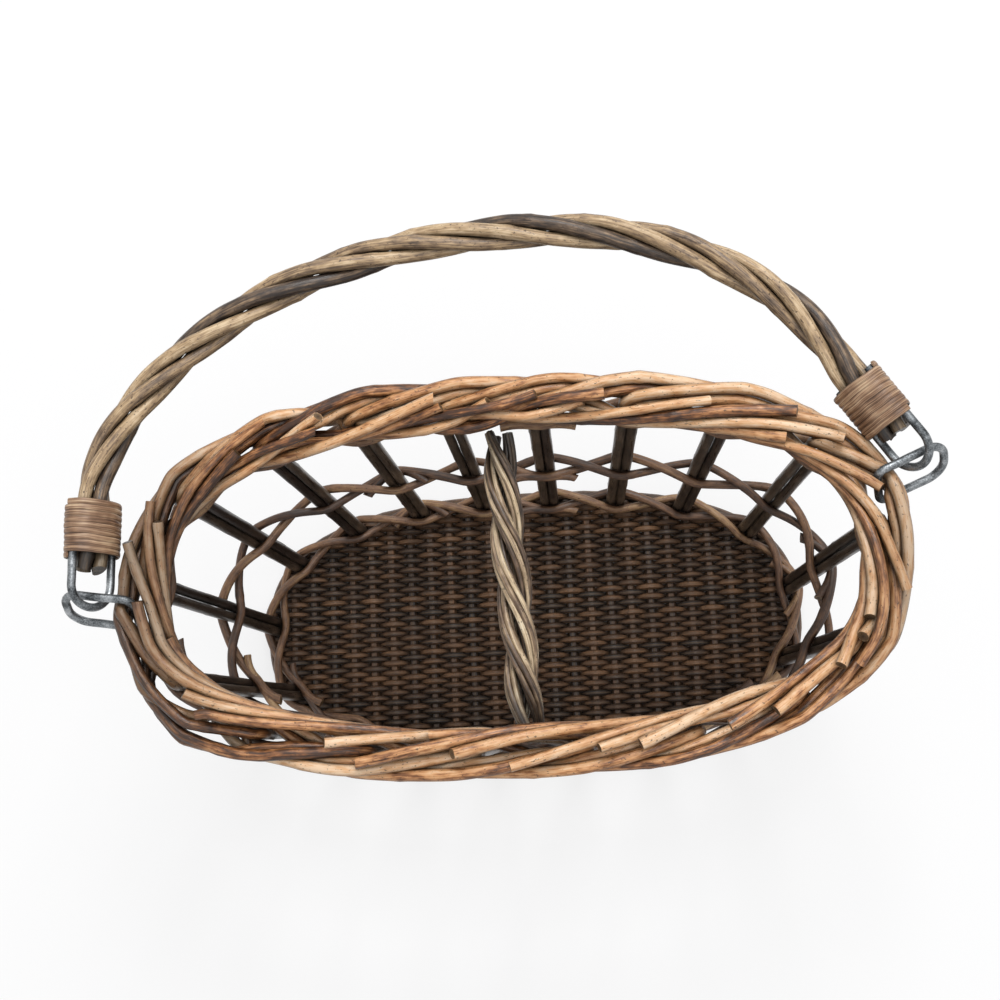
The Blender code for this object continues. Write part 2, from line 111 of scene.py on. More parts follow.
def willow_finish(name, bark, foot_bark=None, change=(0, 1), gloss=0.42, streak=0.5, underside_shade=0.75,
                  stained_ends=(), stained_places=(), stained_reach=(8 * MM, 20 * MM)):
    """Stained willow with its bark on, polished with use, with painted shade.

    It gives the eye fine streaks along each rod, soft blotches, dark pores, rods that differ
    from one another, and a dark pith where a rod is cut. Painted shade darkens the crevices
    between rods and the surfaces that face down, so that the tops look lit from above. With
    foot_bark the colour turns from that below to bark above, over the heights in change. Each
    of the ends given holds the X where the darkening is deepest, the X where it ends and its
    depth; there the colour turns dark brown-grey, partly as darker staining and partly as
    painted shade. The colour is darker too round each of the places given.
    """
    streak_width, streak_length = 0.55 * MM, 16 * MM
    blotch_width, blotch_length = 4.5 * MM, 13 * MM
    scuff_width, scuff_length = 1.3 * MM, 4.5 * MM
    pore_width, pore_length = 0.7 * MM, 1.3 * MM
    made, tree, output = new_material(name)
    place = add(tree, "ShaderNodeAttribute", attribute_name="rod_place").outputs["Vector"]
    rim = add(tree, "ShaderNodeAttribute", attribute_name="rod_rim").outputs["Vector"]
    tone = add(tree, "ShaderNodeAttribute", attribute_name="rod_tone").outputs["Fac"]

    def pattern(width, length, detail):
        scaled = add(tree, "ShaderNodeVectorMath",
                     {0: place, 1: (1 / width, 1 / width, 1 / length)}, operation="MULTIPLY")
        return add(tree, "ShaderNodeTexNoise",
                   {"Vector": scaled, "Scale": 1.0, "Detail": detail, "Roughness": 0.6})

    streaks = pattern(streak_width, streak_length, 3.0)
    blotches = pattern(blotch_width, blotch_length, 2.0)
    scuffs = pattern(scuff_width, scuff_length, 2.0)
    pores = pattern(pore_width, pore_length, 1.0)
    mixed = add(tree, "ShaderNodeMix", {0: streak, 2: blotches, 3: streaks}, data_type="FLOAT")
    shifted = add(tree, "ShaderNodeMath", {0: tone, 1: 0.36, 2: mixed}, operation="MULTIPLY_ADD")
    scuffed = add(tree, "ShaderNodeMath", {0: scuffs, 1: 0.4, 2: shifted}, operation="MULTIPLY_ADD")
    centred = add(tree, "ShaderNodeMath", {0: scuffed, 1: 0.38}, operation="SUBTRACT")
    colour = ramp(tree, centred, bark)
    if foot_bark:
        height = add(tree, "ShaderNodeSeparateXYZ",
                     {0: add(tree, "ShaderNodeTexCoord").outputs["Object"]}).outputs["Z"]
        share = add(tree, "ShaderNodeMapRange", {0: height, 1: change[0], 2: change[1]},
                    interpolation_type="SMOOTHSTEP")
        foot_colour = ramp(tree, centred, foot_bark)
        colour = add(tree, "ShaderNodeMix", {0: share, 6: foot_colour, 7: colour},
                     data_type="RGBA").outputs[2]
    speckled = add(tree, "ShaderNodeMapRange", {0: pores, 1: 0.64, 2: 0.72, 3: 0.0, 4: 0.75})
    colour = add(tree, "ShaderNodeMix", {0: speckled, 6: colour, 7: linear("#2C1C12")},
                 data_type="RGBA").outputs[2]
    middle = add(tree, "ShaderNodeVectorMath", {0: rim}, operation="LENGTH").outputs["Value"]
    cut = add(tree, "ShaderNodeMapRange", {0: middle, 1: 0.90, 2: 0.84})
    wood = ramp(tree, middle, [(0.0, "#24190F"), (0.22, "#5A452F"), (0.75, "#7A6142"), (1.0, "#3A2A1C")])
    colour = add(tree, "ShaderNodeMix", {0: cut, 6: colour, 7: wood}, data_type="RGBA").outputs[2]
    # Painted shade: ambient occlusion darkens the crevices and gaps between rods.
    crevice = add(tree, "ShaderNodeAmbientOcclusion", {"Distance": 5 * MM}, samples=6)
    shade = add(tree, "ShaderNodeMapRange", {0: crevice.outputs["AO"], 1: 0.15, 2: 0.75, 3: 0.3, 4: 1.0})
    # Painted shade: surfaces that face down are darkened, with a blotchy edge, so the tops look lit from above.
    facing = add(tree, "ShaderNodeSeparateXYZ", {0: add(tree, "ShaderNodeNewGeometry").outputs["Normal"]})
    facing_and_blotches = add(tree, "ShaderNodeMath", {0: blotches, 1: 0.9, 2: facing.outputs["Z"]}, operation="MULTIPLY_ADD")
    rubbed_and_shaded = add(tree, "ShaderNodeMapRange", {0: facing_and_blotches, 1: 0.45, 2: 1.35, 3: underside_shade, 4: 1.0})
    shade = add(tree, "ShaderNodeMath", {0: shade, 1: rubbed_and_shaded}, operation="MULTIPLY")
    here = add(tree, "ShaderNodeTexCoord").outputs["Object"]
    # Towards the ends given, the colour is mixed to dark brown-grey: partly darker staining, partly painted shade.
    for deepest, stop, depth in stained_ends:
        end = add(tree, "ShaderNodeMapRange",
                  {0: add(tree, "ShaderNodeSeparateXYZ", {0: here}).outputs["X"],
                   1: deepest, 2: stop, 3: depth, 4: 0.0}, interpolation_type="SMOOTHSTEP")
        colour = add(tree, "ShaderNodeMix", {0: end, 6: colour, 7: linear("#30261F")},
                     data_type="RGBA").outputs[2]
    # Darker round each of the places given.
    for spot in stained_places:
        far = add(tree, "ShaderNodeVectorMath", {0: here, 1: tuple(spot)}, operation="DISTANCE").outputs["Value"]
        stain = add(tree, "ShaderNodeMapRange", {0: far, 1: stained_reach[0], 2: stained_reach[1], 3: 0.3, 4: 1.0})
        shade = add(tree, "ShaderNodeMath", {0: shade, 1: stain}, operation="MULTIPLY")
    colour = add(tree, "ShaderNodeMix", {0: 1.0, 6: colour, 7: shade}, data_type="RGBA",
                 blend_type="MULTIPLY").outputs[2]
    roughness = add(tree, "ShaderNodeMapRange", {0: streaks, 1: 0.3, 2: 0.7, 3: gloss - 0.1, 4: gloss + 0.15})
    relief = add(tree, "ShaderNodeMath", {0: pores, 1: 0.4, 2: streaks}, operation="MULTIPLY_ADD")
    bump = add(tree, "ShaderNodeBump", {"Strength": 0.7, "Distance": 0.25 * MM, "Height": relief})
    shader = add(tree, "ShaderNodeBsdfPrincipled",
                 {"Base Color": colour, "Roughness": roughness, "Normal": bump, "IOR": 1.5})
    tree.links.new(shader.outputs[0], output.inputs["Surface"])
    return made


def sweep_tree():
    """Geometry nodes that sweep every line of a mesh into a rod, wire or skein.

    A line's points carry its radius, its length so far, its number, its tone and, at its ends,
    how steeply it is cut. The surface keeps its place on the straightened rod for the finish.
    """
    tree = bpy.data.node_groups.new("swept rods", "GeometryNodeTree")
    tree.interface.new_socket("Geometry", in_out="INPUT", socket_type="NodeSocketGeometry")
    for name, kind in (("Sides", "Int"), ("Wander", "Float"), ("Wander Length", "Float"), ("Finish", "Material")):
        tree.interface.new_socket(name, in_out="INPUT", socket_type="NodeSocket" + kind)
    tree.interface.new_socket("Geometry", in_out="OUTPUT", socket_type="NodeSocketGeometry")
    given = add(tree, "NodeGroupInput").outputs

    def named(label, data_type="FLOAT"):
        return add(tree, "GeometryNodeInputNamedAttribute", {"Name": label}, data_type=data_type)

    def stored(geometry, label, value, domain="POINT"):
        return add(tree, "GeometryNodeStoreNamedAttribute",
                   {"Geometry": geometry, "Name": label, "Value": value},
                   data_type="FLOAT_VECTOR", domain=domain)

    curves = add(tree, "GeometryNodeMeshToCurve", {"Mesh": given["Geometry"]})
    scale = add(tree, "ShaderNodeMath", {0: 1.0, 1: given["Wander Length"]}, operation="DIVIDE")
    drift = add(tree, "ShaderNodeTexNoise",
                {"Vector": add(tree, "GeometryNodeInputPosition"), "W": named("rod_number"),
                 "Scale": scale, "Detail": 1.0}, noise_dimensions="4D").outputs["Color"]
    centred = add(tree, "ShaderNodeVectorMath", {0: drift, 1: (0.5, 0.5, 0.5)}, operation="SUBTRACT")
    shift = add(tree, "ShaderNodeVectorMath", {0: centred, "Scale": given["Wander"]}, operation="SCALE")
    curves = add(tree, "GeometryNodeSetPosition", {"Geometry": curves, "Offset": shift})
    curves = stored(curves, "rod_run", add(tree, "GeometryNodeInputTangent"))
    profile = add(tree, "GeometryNodeCurvePrimitiveCircle", {"Resolution": given["Sides"], "Radius": 1.0})
    profile = stored(profile, "rod_rim", add(tree, "GeometryNodeInputPosition"))
    swept = add(tree, "GeometryNodeCurveToMesh",
                {"Curve": curves, "Profile Curve": profile, "Scale": named("rod_radius"), "Fill Caps": True})

    rim = add(tree, "ShaderNodeSeparateXYZ", {0: named("rod_rim", "FLOAT_VECTOR")})
    slope = add(tree, "ShaderNodeMath", {0: named("rod_cut"), 1: rim.outputs["X"]}, operation="MULTIPLY")
    slant = add(tree, "ShaderNodeVectorMath",
                {0: named("rod_run", "FLOAT_VECTOR"), "Scale": slope}, operation="SCALE")
    swept = add(tree, "GeometryNodeSetPosition", {"Geometry": swept, "Offset": slant})
    round_place = add(tree, "ShaderNodeVectorMath",
                      {0: named("rod_rim", "FLOAT_VECTOR"), "Scale": named("rod_radius")}, operation="SCALE")
    lane = add(tree, "ShaderNodeMath", {0: named("rod_number"), 1: 0.05}, operation="MULTIPLY")
    long_place = add(tree, "ShaderNodeCombineXYZ", {"X": lane, "Y": lane, "Z": named("rod_travel")})
    straight = add(tree, "ShaderNodeVectorMath", {0: round_place, 1: long_place}, operation="ADD")
    swept = stored(swept, "rod_place", straight)
    for label in ("rod_run", "rod_radius", "rod_cut", "rod_travel", "rod_number"):
        swept = add(tree, "GeometryNodeRemoveAttribute", {"Geometry": swept, "Name": label})
    swept = add(tree, "GeometryNodeSetShadeSmooth", {"Geometry": swept})
    swept = add(tree, "GeometryNodeSetMaterial", {"Geometry": swept, "Material": given["Finish"]})
    add(tree, "NodeGroupOutput", {"Geometry": swept})
    return tree


SWEEP = sweep_tree()
CUT_EDGE = math.radians(48)
ROD_SIDES = 9


def with_nodes(piece, tree, **inputs):
    """Run a geometry node tree on a piece and keep the result as the piece's own mesh."""
    modifier = piece.modifiers.new("made", "NODES")
    modifier.node_group = tree
    for item in tree.interface.items_tree:
        if item.in_out == "INPUT" and item.name.replace(" ", "_") in inputs:
            modifier[item.identifier] = inputs[item.name.replace(" ", "_")]
    graph = bpy.context.evaluated_depsgraph_get()
    before = piece.data
    made = bpy.data.meshes.new_from_object(
        piece.evaluated_get(graph), preserve_all_data_layers=True, depsgraph=graph)
    piece.modifiers.clear()
    piece.data = made
    bpy.data.meshes.remove(before)
    made.name = piece.name
    made.set_sharp_from_angle(angle=CUT_EDGE)
    return piece


def rod(points, butt, tip, draw, buds=True, closed=False):
    """A willow rod along points: radius from butt to tip, with a swelling at each bud.

    Returns its points, radii, how steeply each end is cut and its tone from 0 to 1.
    """
    bud_gap, bud_height, bud_length = (24 * MM, 52 * MM), (0.05, 0.13), 1.8 * MM
    travels = [0.0]
    for before, after in zip(points, points[1:]):
        travels.append(travels[-1] + (after - before).length)
    swellings = []
    reached = draw.uniform(0, bud_gap[1])
    while buds and reached < travels[-1]:
        swellings.append((reached, draw.uniform(*bud_height)))
        reached += draw.uniform(*bud_gap)
    radii = []
    for travel in travels:
        radius = butt + (tip - butt) * travel / travels[-1]
        swell = sum(high * math.exp(-((travel - at) / bud_length) ** 2) for at, high in swellings)
        radii.append(radius * (1 + swell))
    cuts = [0.0] * len(points)
    cuts[0] = draw.uniform(-0.4, 0.4) * butt
    cuts[-1] = draw.uniform(-0.5, 0.5) * tip
    return {"points": points, "radii": radii, "travels": travels, "cuts": cuts,
            "tone": draw.random(), "closed": closed}


def swept_piece(name, rods, finish, body, nodes, sides=ROD_SIDES, wander=0.0, wander_length=20 * MM):
    """Sweep rods into one piece that rides on a body and stands for the named nodes."""
    corners, edges = [], []
    columns = {label: [] for label in ("rod_radius", "rod_travel", "rod_cut", "rod_tone", "rod_number")}
    for number, made in enumerate(rods):
        first, count = len(corners), len(made["points"])
        corners += [tuple(point) for point in made["points"]]
        edges += [(first + step, first + step + 1) for step in range(count - 1)]
        if made["closed"]:
            edges.append((first + count - 1, first))
        columns["rod_radius"] += made["radii"]
        columns["rod_travel"] += made["travels"]
        columns["rod_cut"] += made["cuts"]
        columns["rod_tone"] += [made["tone"]] * count
        columns["rod_number"] += [float(number + len(name))] * count
    mesh = bpy.data.meshes.new(name)
    mesh.from_pydata(corners, edges, [])
    for label, values in columns.items():
        mesh.attributes.new(label, "FLOAT", "POINT").data.foreach_set("value", values)
    piece = bpy.data.objects.new(name, mesh)
    bpy.context.scene.collection.objects.link(piece)
    with_nodes(piece, SWEEP, Sides=sides, Wander=wander, Wander_Length=wander_length, Finish=finish)
    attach(piece, body)
    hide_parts(*nodes)
    return piece


def oval_reach(half_length, half_width, share):
    """Half length of the oval at a share of its half width."""
    return half_length * (1 - min(abs(share), 1) ** OVAL_SQUARENESS) ** (1 / OVAL_SQUARENESS)


def base_rods():
    """Cross sticks, lengthwise rods that pass over and under them, and the rods of the edge."""
    draw = random.Random(11)
    half_length = FOOT_HALF_LENGTH + BASE_OVERHANG - MAT_EDGE_INSET
    half_width = FOOT_HALF_WIDTH + BASE_OVERHANG - MAT_EDGE_INSET
    level = BASE_THICKNESS / 2
    lift = level - MAT_ROD_RADIUS
    rods = []
    sticks = round(half_length / CROSS_STICK_PITCH)
    for stick in range(1 - sticks, sticks):
        x = stick * CROSS_STICK_PITCH
        reach = half_width * (1 - abs(x / half_length) ** OVAL_SQUARENESS) ** (1 / OVAL_SQUARENESS)
        steps = 14
        points = [Vector((x, reach * (2 * step / steps - 1), level)) for step in range(steps + 1)]
        rods.append(rod(points, CROSS_STICK_RADIUS, CROSS_STICK_RADIUS, draw))
    rows = round(half_width / MAT_ROD_PITCH)
    for row in range(1 - rows, rows):
        y = row * MAT_ROD_PITCH
        reach = oval_reach(half_length, half_width, y / half_width)
        steps = max(4, round(2 * reach / CROSS_STICK_PITCH * MAT_POINTS_PER_STICK))
        points = []
        for step in range(steps + 1):
            x = reach * (2 * step / steps - 1)
            wave = math.cos(math.pi * (x / CROSS_STICK_PITCH + row))
            points.append(Vector((x, y, level + lift * wave)))
        rods.append(rod(points, MAT_ROD_RADIUS, MAT_ROD_RADIUS, draw, buds=False))
    for height, inset in ((MAT_EDGE_RADIUS, 0), (BASE_THICKNESS / 2, -0.5 * MM),
                          (BASE_THICKNESS - MAT_EDGE_RADIUS, 0)):
        points = []
        for step in range(MAT_EDGE_POINTS):
            angle = 2 * math.pi * step / MAT_EDGE_POINTS
            power = 2 / OVAL_SQUARENESS
            cosine, sine = math.cos(angle), math.sin(angle)
            x = (half_length - inset) * math.copysign(abs(cosine) ** power, cosine)
            y = (half_width - inset) * math.copysign(abs(sine) ** power, sine)
            points.append(Vector((x, y, height)))
        rods.append(rod(points, MAT_EDGE_RADIUS, MAT_EDGE_RADIUS, draw, closed=True))
    return rods


# Dark stained willow, handled little: brown-black with dull reddish lights
floor_willow = willow_finish(
    "dark stained willow mat",
    [(0.28, "#170E08"), (0.44, "#342114"), (0.56, "#523620"), (0.72, "#765438")], gloss=0.5)
swept_piece("base_weave", base_rods(), floor_willow, "basket", ["base_mat"],
            sides=6, wander=MAT_WANDER)


# Stakes and rolled border
# Eighteen pairs of willow rods stand on the base. At the top each pair leans out, turns along
# the rim and rolls round it, outside, under, inside and back over the top, where it is cut off.

PAIR_COUNT = 18
RIM_HALF_LENGTH = 131.4 * MM
RIM_HALF_WIDTH = 61.8 * MM
RIM_HEIGHT = 179.0 * MM
RING_STATION = -0.32
RING_SETBACK = 15.2 * MM
STAKE_DRIFT = 7.2 * MM
OVAL_SAMPLES = 1440
STAKE_FOOT_HEIGHT = 6.6 * MM
STAKE_RADIUS = 2.2 * MM
BORDER_ROD_SHARES = (0.8, 1.04)
STAKE_STANDING_GAP = 0.25 * MM
BORDER_RADIUS = 8.0 * MM
BORDER_REACH_MAX = 8.3 * MM
BORDER_TURN_PER_PITCH = math.radians(72)
BORDER_RUN_TURN = math.radians(274)
BEND_START_DEPTH = 5.0 * MM
BEND_RISE = 6.4 * MM
BEND_REACH = 12.0 * MM
BEND_CREST = 0.6 * MM
UPRIGHT_STEPS = 44
STAKE_WANDER = 0.8 * MM
STAKE_WANDER_LENGTH = 45 * MM


def oval_point(angle):
    """Point of the rim's centre line at an angle of the superellipse."""
    power = 2 / OVAL_SQUARENESS
    cosine, sine = math.cos(angle), math.sin(angle)
    x = RIM_HALF_LENGTH * math.copysign(abs(cosine) ** power, cosine)
    y = RIM_HALF_WIDTH * math.copysign(abs(sine) ** power, sine)
    return Vector((x, y, 0))


OVAL_POINTS = [oval_point(-2 * math.pi * step / OVAL_SAMPLES) for step in range(OVAL_SAMPLES + 1)]
OVAL_LENGTHS = [0.0]
for before, after in zip(OVAL_POINTS, OVAL_POINTS[1:]):
    OVAL_LENGTHS.append(OVAL_LENGTHS[-1] + (after - before).length)
PITCH = OVAL_LENGTHS[-1] / PAIR_COUNT


def rim_at(station):
    """Rim point at a station, counted in pitches clockwise from the first pair."""
    from_ring = station - RING_STATION
    drift = STAKE_DRIFT * math.cos(2 * math.pi * from_ring / PAIR_COUNT)
    wanted = (from_ring * PITCH - RING_SETBACK - drift) % OVAL_LENGTHS[-1]
    low, high = 0, OVAL_SAMPLES
    while high - low > 1:
        middle = (low + high) // 2
        if OVAL_LENGTHS[middle] <= wanted:
            low = middle
        else:
            high = middle
    part = (wanted - OVAL_LENGTHS[low]) / (OVAL_LENGTHS[high] - OVAL_LENGTHS[low])
    return OVAL_POINTS[low].lerp(OVAL_POINTS[high], part)


def along(station):
    """Unit vector along the rim, clockwise."""
    step_share = 0.02
    return (rim_at(station + step_share) - rim_at(station - step_share)).normalized()


def outward(station):
    return UP.cross(along(station))


def wall_point(station, out, height):
    """A place on the flared wall: out is measured from the wall's middle line."""
    rim = rim_at(station)
    share = height / RIM_HEIGHT
    half_length = FOOT_HALF_LENGTH + (RIM_HALF_LENGTH - FOOT_HALF_LENGTH) * share
    half_width = FOOT_HALF_WIDTH + (RIM_HALF_WIDTH - FOOT_HALF_WIDTH) * share
    x = rim.x * half_length / RIM_HALF_LENGTH
    y = rim.y * half_width / RIM_HALF_WIDTH
    return Vector((x, y, height)) + outward(station) * out


def bezier(controls, part):
    """Point of a cubic curve at a share of it."""
    weights = ((1 - part) ** 3, 3 * part * (1 - part) ** 2, 3 * part ** 2 * (1 - part), part ** 3)
    size = len(controls[0])
    return [sum(weight * control[axis] for weight, control in zip(weights, controls))
            for axis in range(size)]


RING_HALF_WIDTH = 8.2 * MM
RING_INNER_REACH = 2.5 * MM
RING_OUTER_REACH = 28.0 * MM
RING_INNER_CORNER = 3.2 * MM
RING_OUTER_CORNER = 6.4 * MM
RING_TILT = math.radians(60)
RING_YAW = math.radians(16)
RING_DROP = 0.75 * MM
RING_CORNER_STEPS = 12
RING_LEG_STEPS = 8
RING_WIRE_RADIUS = 1.5 * MM


def ring_core(end):
    """Place in the middle of the border where a ring is hooked in: end is 1 at +X, -1 at -X."""
    return wall_point(RING_STATION if end > 0 else RING_STATION + PAIR_COUNT / 2, 0, RIM_HEIGHT)


def ring_point(away, aside, end):
    """A place in the ring's plane: away from the border's core, aside towards its upper leg."""
    axis = (ring_core(1) - ring_core(-1)).normalized()
    back = UP.cross(axis)
    lengthwise = axis * (end * math.cos(RING_YAW)) + back * math.sin(RING_YAW)
    level = back * math.cos(RING_YAW) - axis * (end * math.sin(RING_YAW))
    upward = level * math.cos(RING_TILT) + UP * math.sin(RING_TILT)
    return ring_core(end) - UP * RING_DROP + lengthwise * away + upward * aside


def ring_line(end):
    """The ring's wire as a rounded oblong, with points along its legs too."""
    points = []
    for corner in range(4):
        outer, upper = corner in (0, 3), corner in (0, 1)
        radius = RING_OUTER_CORNER if outer else RING_INNER_CORNER
        away = RING_OUTER_REACH - radius if outer else RING_INNER_REACH + radius
        aside = (RING_HALF_WIDTH - radius) * (1 if upper else -1)
        arc = []
        for step in range(RING_CORNER_STEPS + 1):
            angle = math.pi / 2 * (corner + step / RING_CORNER_STEPS)
            arc.append(ring_point(away + radius * math.cos(angle), aside + radius * math.sin(angle), end))
        if points:
            points += [points[-1].lerp(arc[0], step / RING_LEG_STEPS) for step in range(1, RING_LEG_STEPS)]
        points += arc
    return points + [points[-1].lerp(points[0], step / RING_LEG_STEPS) for step in range(1, RING_LEG_STEPS)]


BEND_PITCHES = 2.5 - math.pi / 2 / BORDER_TURN_PER_PITCH
GRID_PER_PITCH = 14
GRID_ROUND = GRID_PER_PITCH * PAIR_COUNT
SETTLE_ROUNDS = 170
SETTLE_BEND = 0.48
SETTLE_GAP = 0.1 * MM
UPRIGHT_REACH_STEPS = 2
RING_SPACE = 1.2 * MM
PAIR_SPREAD_PITCHES = 0.6
STRAIGHTENING = 0.9
TAIL_SPRING = 0.12
KINK_PITCHES = (1.1, 1.9)
KINK_STIFFNESS = 0.06
SWAY = (0.4 * MM, 1.4 * MM)
SWAY_PITCHES = (1.5, 2.6)
LOOSE_CORNER = Vector((-118, -50, 0)) * MM
LOOSE_REACH_PITCHES = 1.0
LOOSE_BULGE = 16.0 * MM
LOOSE_SHARES = (0.45, 1.0)
LOOSE_SHARPNESS = 1.4


def wanted_roll(draw, side):
    """Where a rod would lie round the rim if it were alone: out and up from the rim's core.

    Each sways in its own way.
    """
    radius = BORDER_RADIUS * draw.uniform(0.8, 1.06)
    turn = BORDER_TURN_PER_PITCH * draw.uniform(0.88, 1.14)
    bend_pitches = BEND_PITCHES * draw.uniform(0.76, 1.2)
    run_turn = BORDER_RUN_TURN * draw.uniform(0.84, 1.08)
    sways = [(draw.uniform(*SWAY), draw.uniform(*SWAY_PITCHES), draw.uniform(0, 2 * math.pi)) for _ in range(2)]
    bend_length = bend_pitches * PITCH
    controls = ((0, 0, -BEND_START_DEPTH), (0, 0, BEND_RISE - BEND_START_DEPTH),
                (bend_length - BEND_REACH, radius, BEND_CREST), (bend_length, radius, 0))
    curve = [bezier(controls, step / 80) for step in range(81)]
    roll = []
    for step in range(round((bend_pitches + run_turn / turn) * GRID_PER_PITCH) + 1):
        pitches = step / GRID_PER_PITCH
        if pitches < bend_pitches:
            after = next(index for index in range(1, 81) if curve[index][0] >= pitches * PITCH)
            (near, out, lift), (far, far_out, far_lift) = curve[after - 1], curve[after]
            part = (pitches * PITCH - near) / (far - near)
            out += (far_out - out) * part
            lift += (far_lift - lift) * part
            swing = -math.pi / 2 * min(1, pitches / PAIR_SPREAD_PITCHES) * 0.5
        else:
            angle = -(pitches - bend_pitches) * turn
            out, lift = radius * math.cos(angle), radius * math.sin(angle)
            swing = angle
        freed = min(1, pitches / PAIR_SPREAD_PITCHES)
        apart = side * STAKE_RADIUS * freed
        out_sway, lift_sway = (freed * high * math.sin(2 * math.pi * pitches / length + phase)
                               for high, length, phase in sways)
        roll.append((out + apart * math.sin(swing) + out_sway,
                     lift - apart * math.cos(swing) + lift_sway))
    return roll


def settled_rolls():
    """Let the rods of all pairs straighten and press one another apart round the rim.

    Each rod has a place, out and up from the rim's core, at every station of a grid that goes
    round the rim. At a station rods push apart like discs, and keep clear of the stakes that
    rise there and of the two rings' wires. Between its kinks each rod resists bending. The
    rods that pass outside at the loose corner then bulge out there.
    """
    draw = random.Random(77)
    rolls = [wanted_roll(draw, side) for _ in range(PAIR_COUNT) for side in (-1, 1)]
    radii = numpy.array([STAKE_RADIUS * draw.uniform(*BORDER_ROD_SHARES) for _ in rolls])
    rods, most = len(rolls), max(len(roll) for roll in rolls)
    place = numpy.zeros((rods, most, 2))
    for number, roll in enumerate(rolls):
        place[number, :len(roll)] = roll
        place[number, len(roll):] = roll[-1]
    counts = numpy.array([len(roll) for roll in rolls])
    starts = numpy.arange(rods) // 2 * GRID_PER_PITCH
    steps = (numpy.arange(GRID_ROUND)[:, None] - starts[None, :]) % GRID_ROUND
    present = steps < counts[None, :]
    steps = numpy.minimum(steps, most - 1)
    names = numpy.arange(rods)[None, :].repeat(GRID_ROUND, axis=0)
    both = present[:, :, None] & present[:, None, :] & ~numpy.eye(rods, dtype=bool)[None]
    standing = numpy.zeros((GRID_ROUND, rods), dtype=bool)
    for pair in range(PAIR_COUNT):
        for near in range(-UPRIGHT_REACH_STEPS, UPRIGHT_REACH_STEPS + 1):
            standing[(pair * GRID_PER_PITCH + near) % GRID_ROUND] = True
    standing &= present & (steps > GRID_PER_PITCH)
    wires = []
    for end in (1, -1):
        station = RING_STATION if end > 0 else RING_STATION + PAIR_COUNT / 2
        core, ahead, away = ring_core(end), along(station), outward(station)
        for point in ring_line(end):
            offset = point - core
            if offset.dot(away) < 2 * BORDER_REACH_MAX:
                wires.append((station * GRID_PER_PITCH + offset.dot(ahead) / PITCH * GRID_PER_PITCH,
                              offset.dot(away), offset.z))
    step_length = PITCH / GRID_PER_PITCH
    turning = numpy.zeros(GRID_ROUND)
    for row in range(GRID_ROUND):
        station = row / GRID_PER_PITCH
        turning[row] = along(station + 0.25).angle(along(station - 0.25)) * 2 / GRID_PER_PITCH * step_length
    rows = (starts[:, None] + numpy.arange(most)[None, :]) % GRID_ROUND
    inward = STRAIGHTENING * turning[rows] / 2
    stiffness = numpy.full((rods, most, 1), SETTLE_BEND)
    for number in range(rods):
        kink = draw.uniform(0.5, 1.4)
        while kink * GRID_PER_PITCH < most:
            stiffness[number, int(kink * GRID_PER_PITCH)] = KINK_STIFFNESS
            kink += draw.uniform(*KINK_PITCHES)
    least = radii[None, :, None] + radii[None, None, :] + SETTLE_GAP
    wire_least = radii + RING_WIRE_RADIUS + RING_SPACE
    stake_least = (radii + STAKE_RADIUS)[None, :]
    movable = numpy.minimum(1, numpy.arange(most) / (0.5 * GRID_PER_PITCH))[None, :, None]
    last = counts - 1
    for _ in range(SETTLE_ROUNDS):
        before = place.copy()
        straight = (before[:, :-2] + before[:, 2:]) / 2
        straight[..., 0] -= inward[:, 1:-1]
        place[:, 1:-1] += stiffness[:, 1:-1] * (straight - before[:, 1:-1])
        place = before + (place - before) * movable
        every = numpy.arange(rods)
        sprung = 2 * before[every, last - 1] - before[every, last - 2]
        sprung[:, 0] += 2 * inward[every, last]
        place[every, last] = before[every, last] + TAIL_SPRING * (sprung - before[every, last])
        here = place[names, steps]
        apart = here[:, :, None, :] - here[:, None, :, :]
        gap = numpy.sqrt((apart ** 2).sum(axis=3)) + 1e-9
        push = numpy.where(both, numpy.maximum(0, least - gap), 0) / gap * 0.34
        here = here + (apart * push[..., None]).sum(axis=2) * movable[0, steps]
        low = standing & (here[..., 1] < 0) & (numpy.abs(here[..., 0]) < stake_least)
        side = numpy.where(here[..., 0] >= 0, 1.0, -1.0)
        here[..., 0] = numpy.where(low, here[..., 0] + 0.5 * (side * stake_least - here[..., 0]), here[..., 0])
        for row, out, lift in wires:
            for near in (-1, 0, 1, 2):
                grid = math.floor(row) + near
                ahead = (grid - row) * step_length
                offset = here[grid % GRID_ROUND] - numpy.array((out, lift))
                far = numpy.sqrt((offset ** 2).sum(axis=1) + ahead ** 2) + 1e-9
                shove = numpy.maximum(0, wire_least - far) / far * 0.5
                here[grid % GRID_ROUND] += offset * shove[:, None] * present[grid % GRID_ROUND][:, None]
        reach = numpy.sqrt((here ** 2).sum(axis=2)) + 1e-9
        here *= numpy.minimum(1, BORDER_REACH_MAX / reach)[..., None]
        place[names[present], steps[present]] = here[present]
        for number, count in enumerate(counts):
            place[number, count:] = place[number, count - 1]
    corner = min((station / 10 for station in range(10 * PAIR_COUNT)),
                 key=lambda station: (rim_at(station) - LOOSE_CORNER).length)
    settled = []
    for number, count in enumerate(counts):
        loose = LOOSE_BULGE * LOOSE_SHARES[number % len(LOOSE_SHARES)]
        roll = []
        for step in range(count):
            out, lift = place[number, step]
            past = (number // 2 + step / GRID_PER_PITCH - corner + PAIR_COUNT / 2) % PAIR_COUNT - PAIR_COUNT / 2
            bulge = loose * max(0, 1 - abs(past) / LOOSE_REACH_PITCHES) ** LOOSE_SHARPNESS
            roll.append((out + bulge * max(0, out / BORDER_RADIUS) ** 0.5, lift))
        settled.append(roll)
    return settled, radii


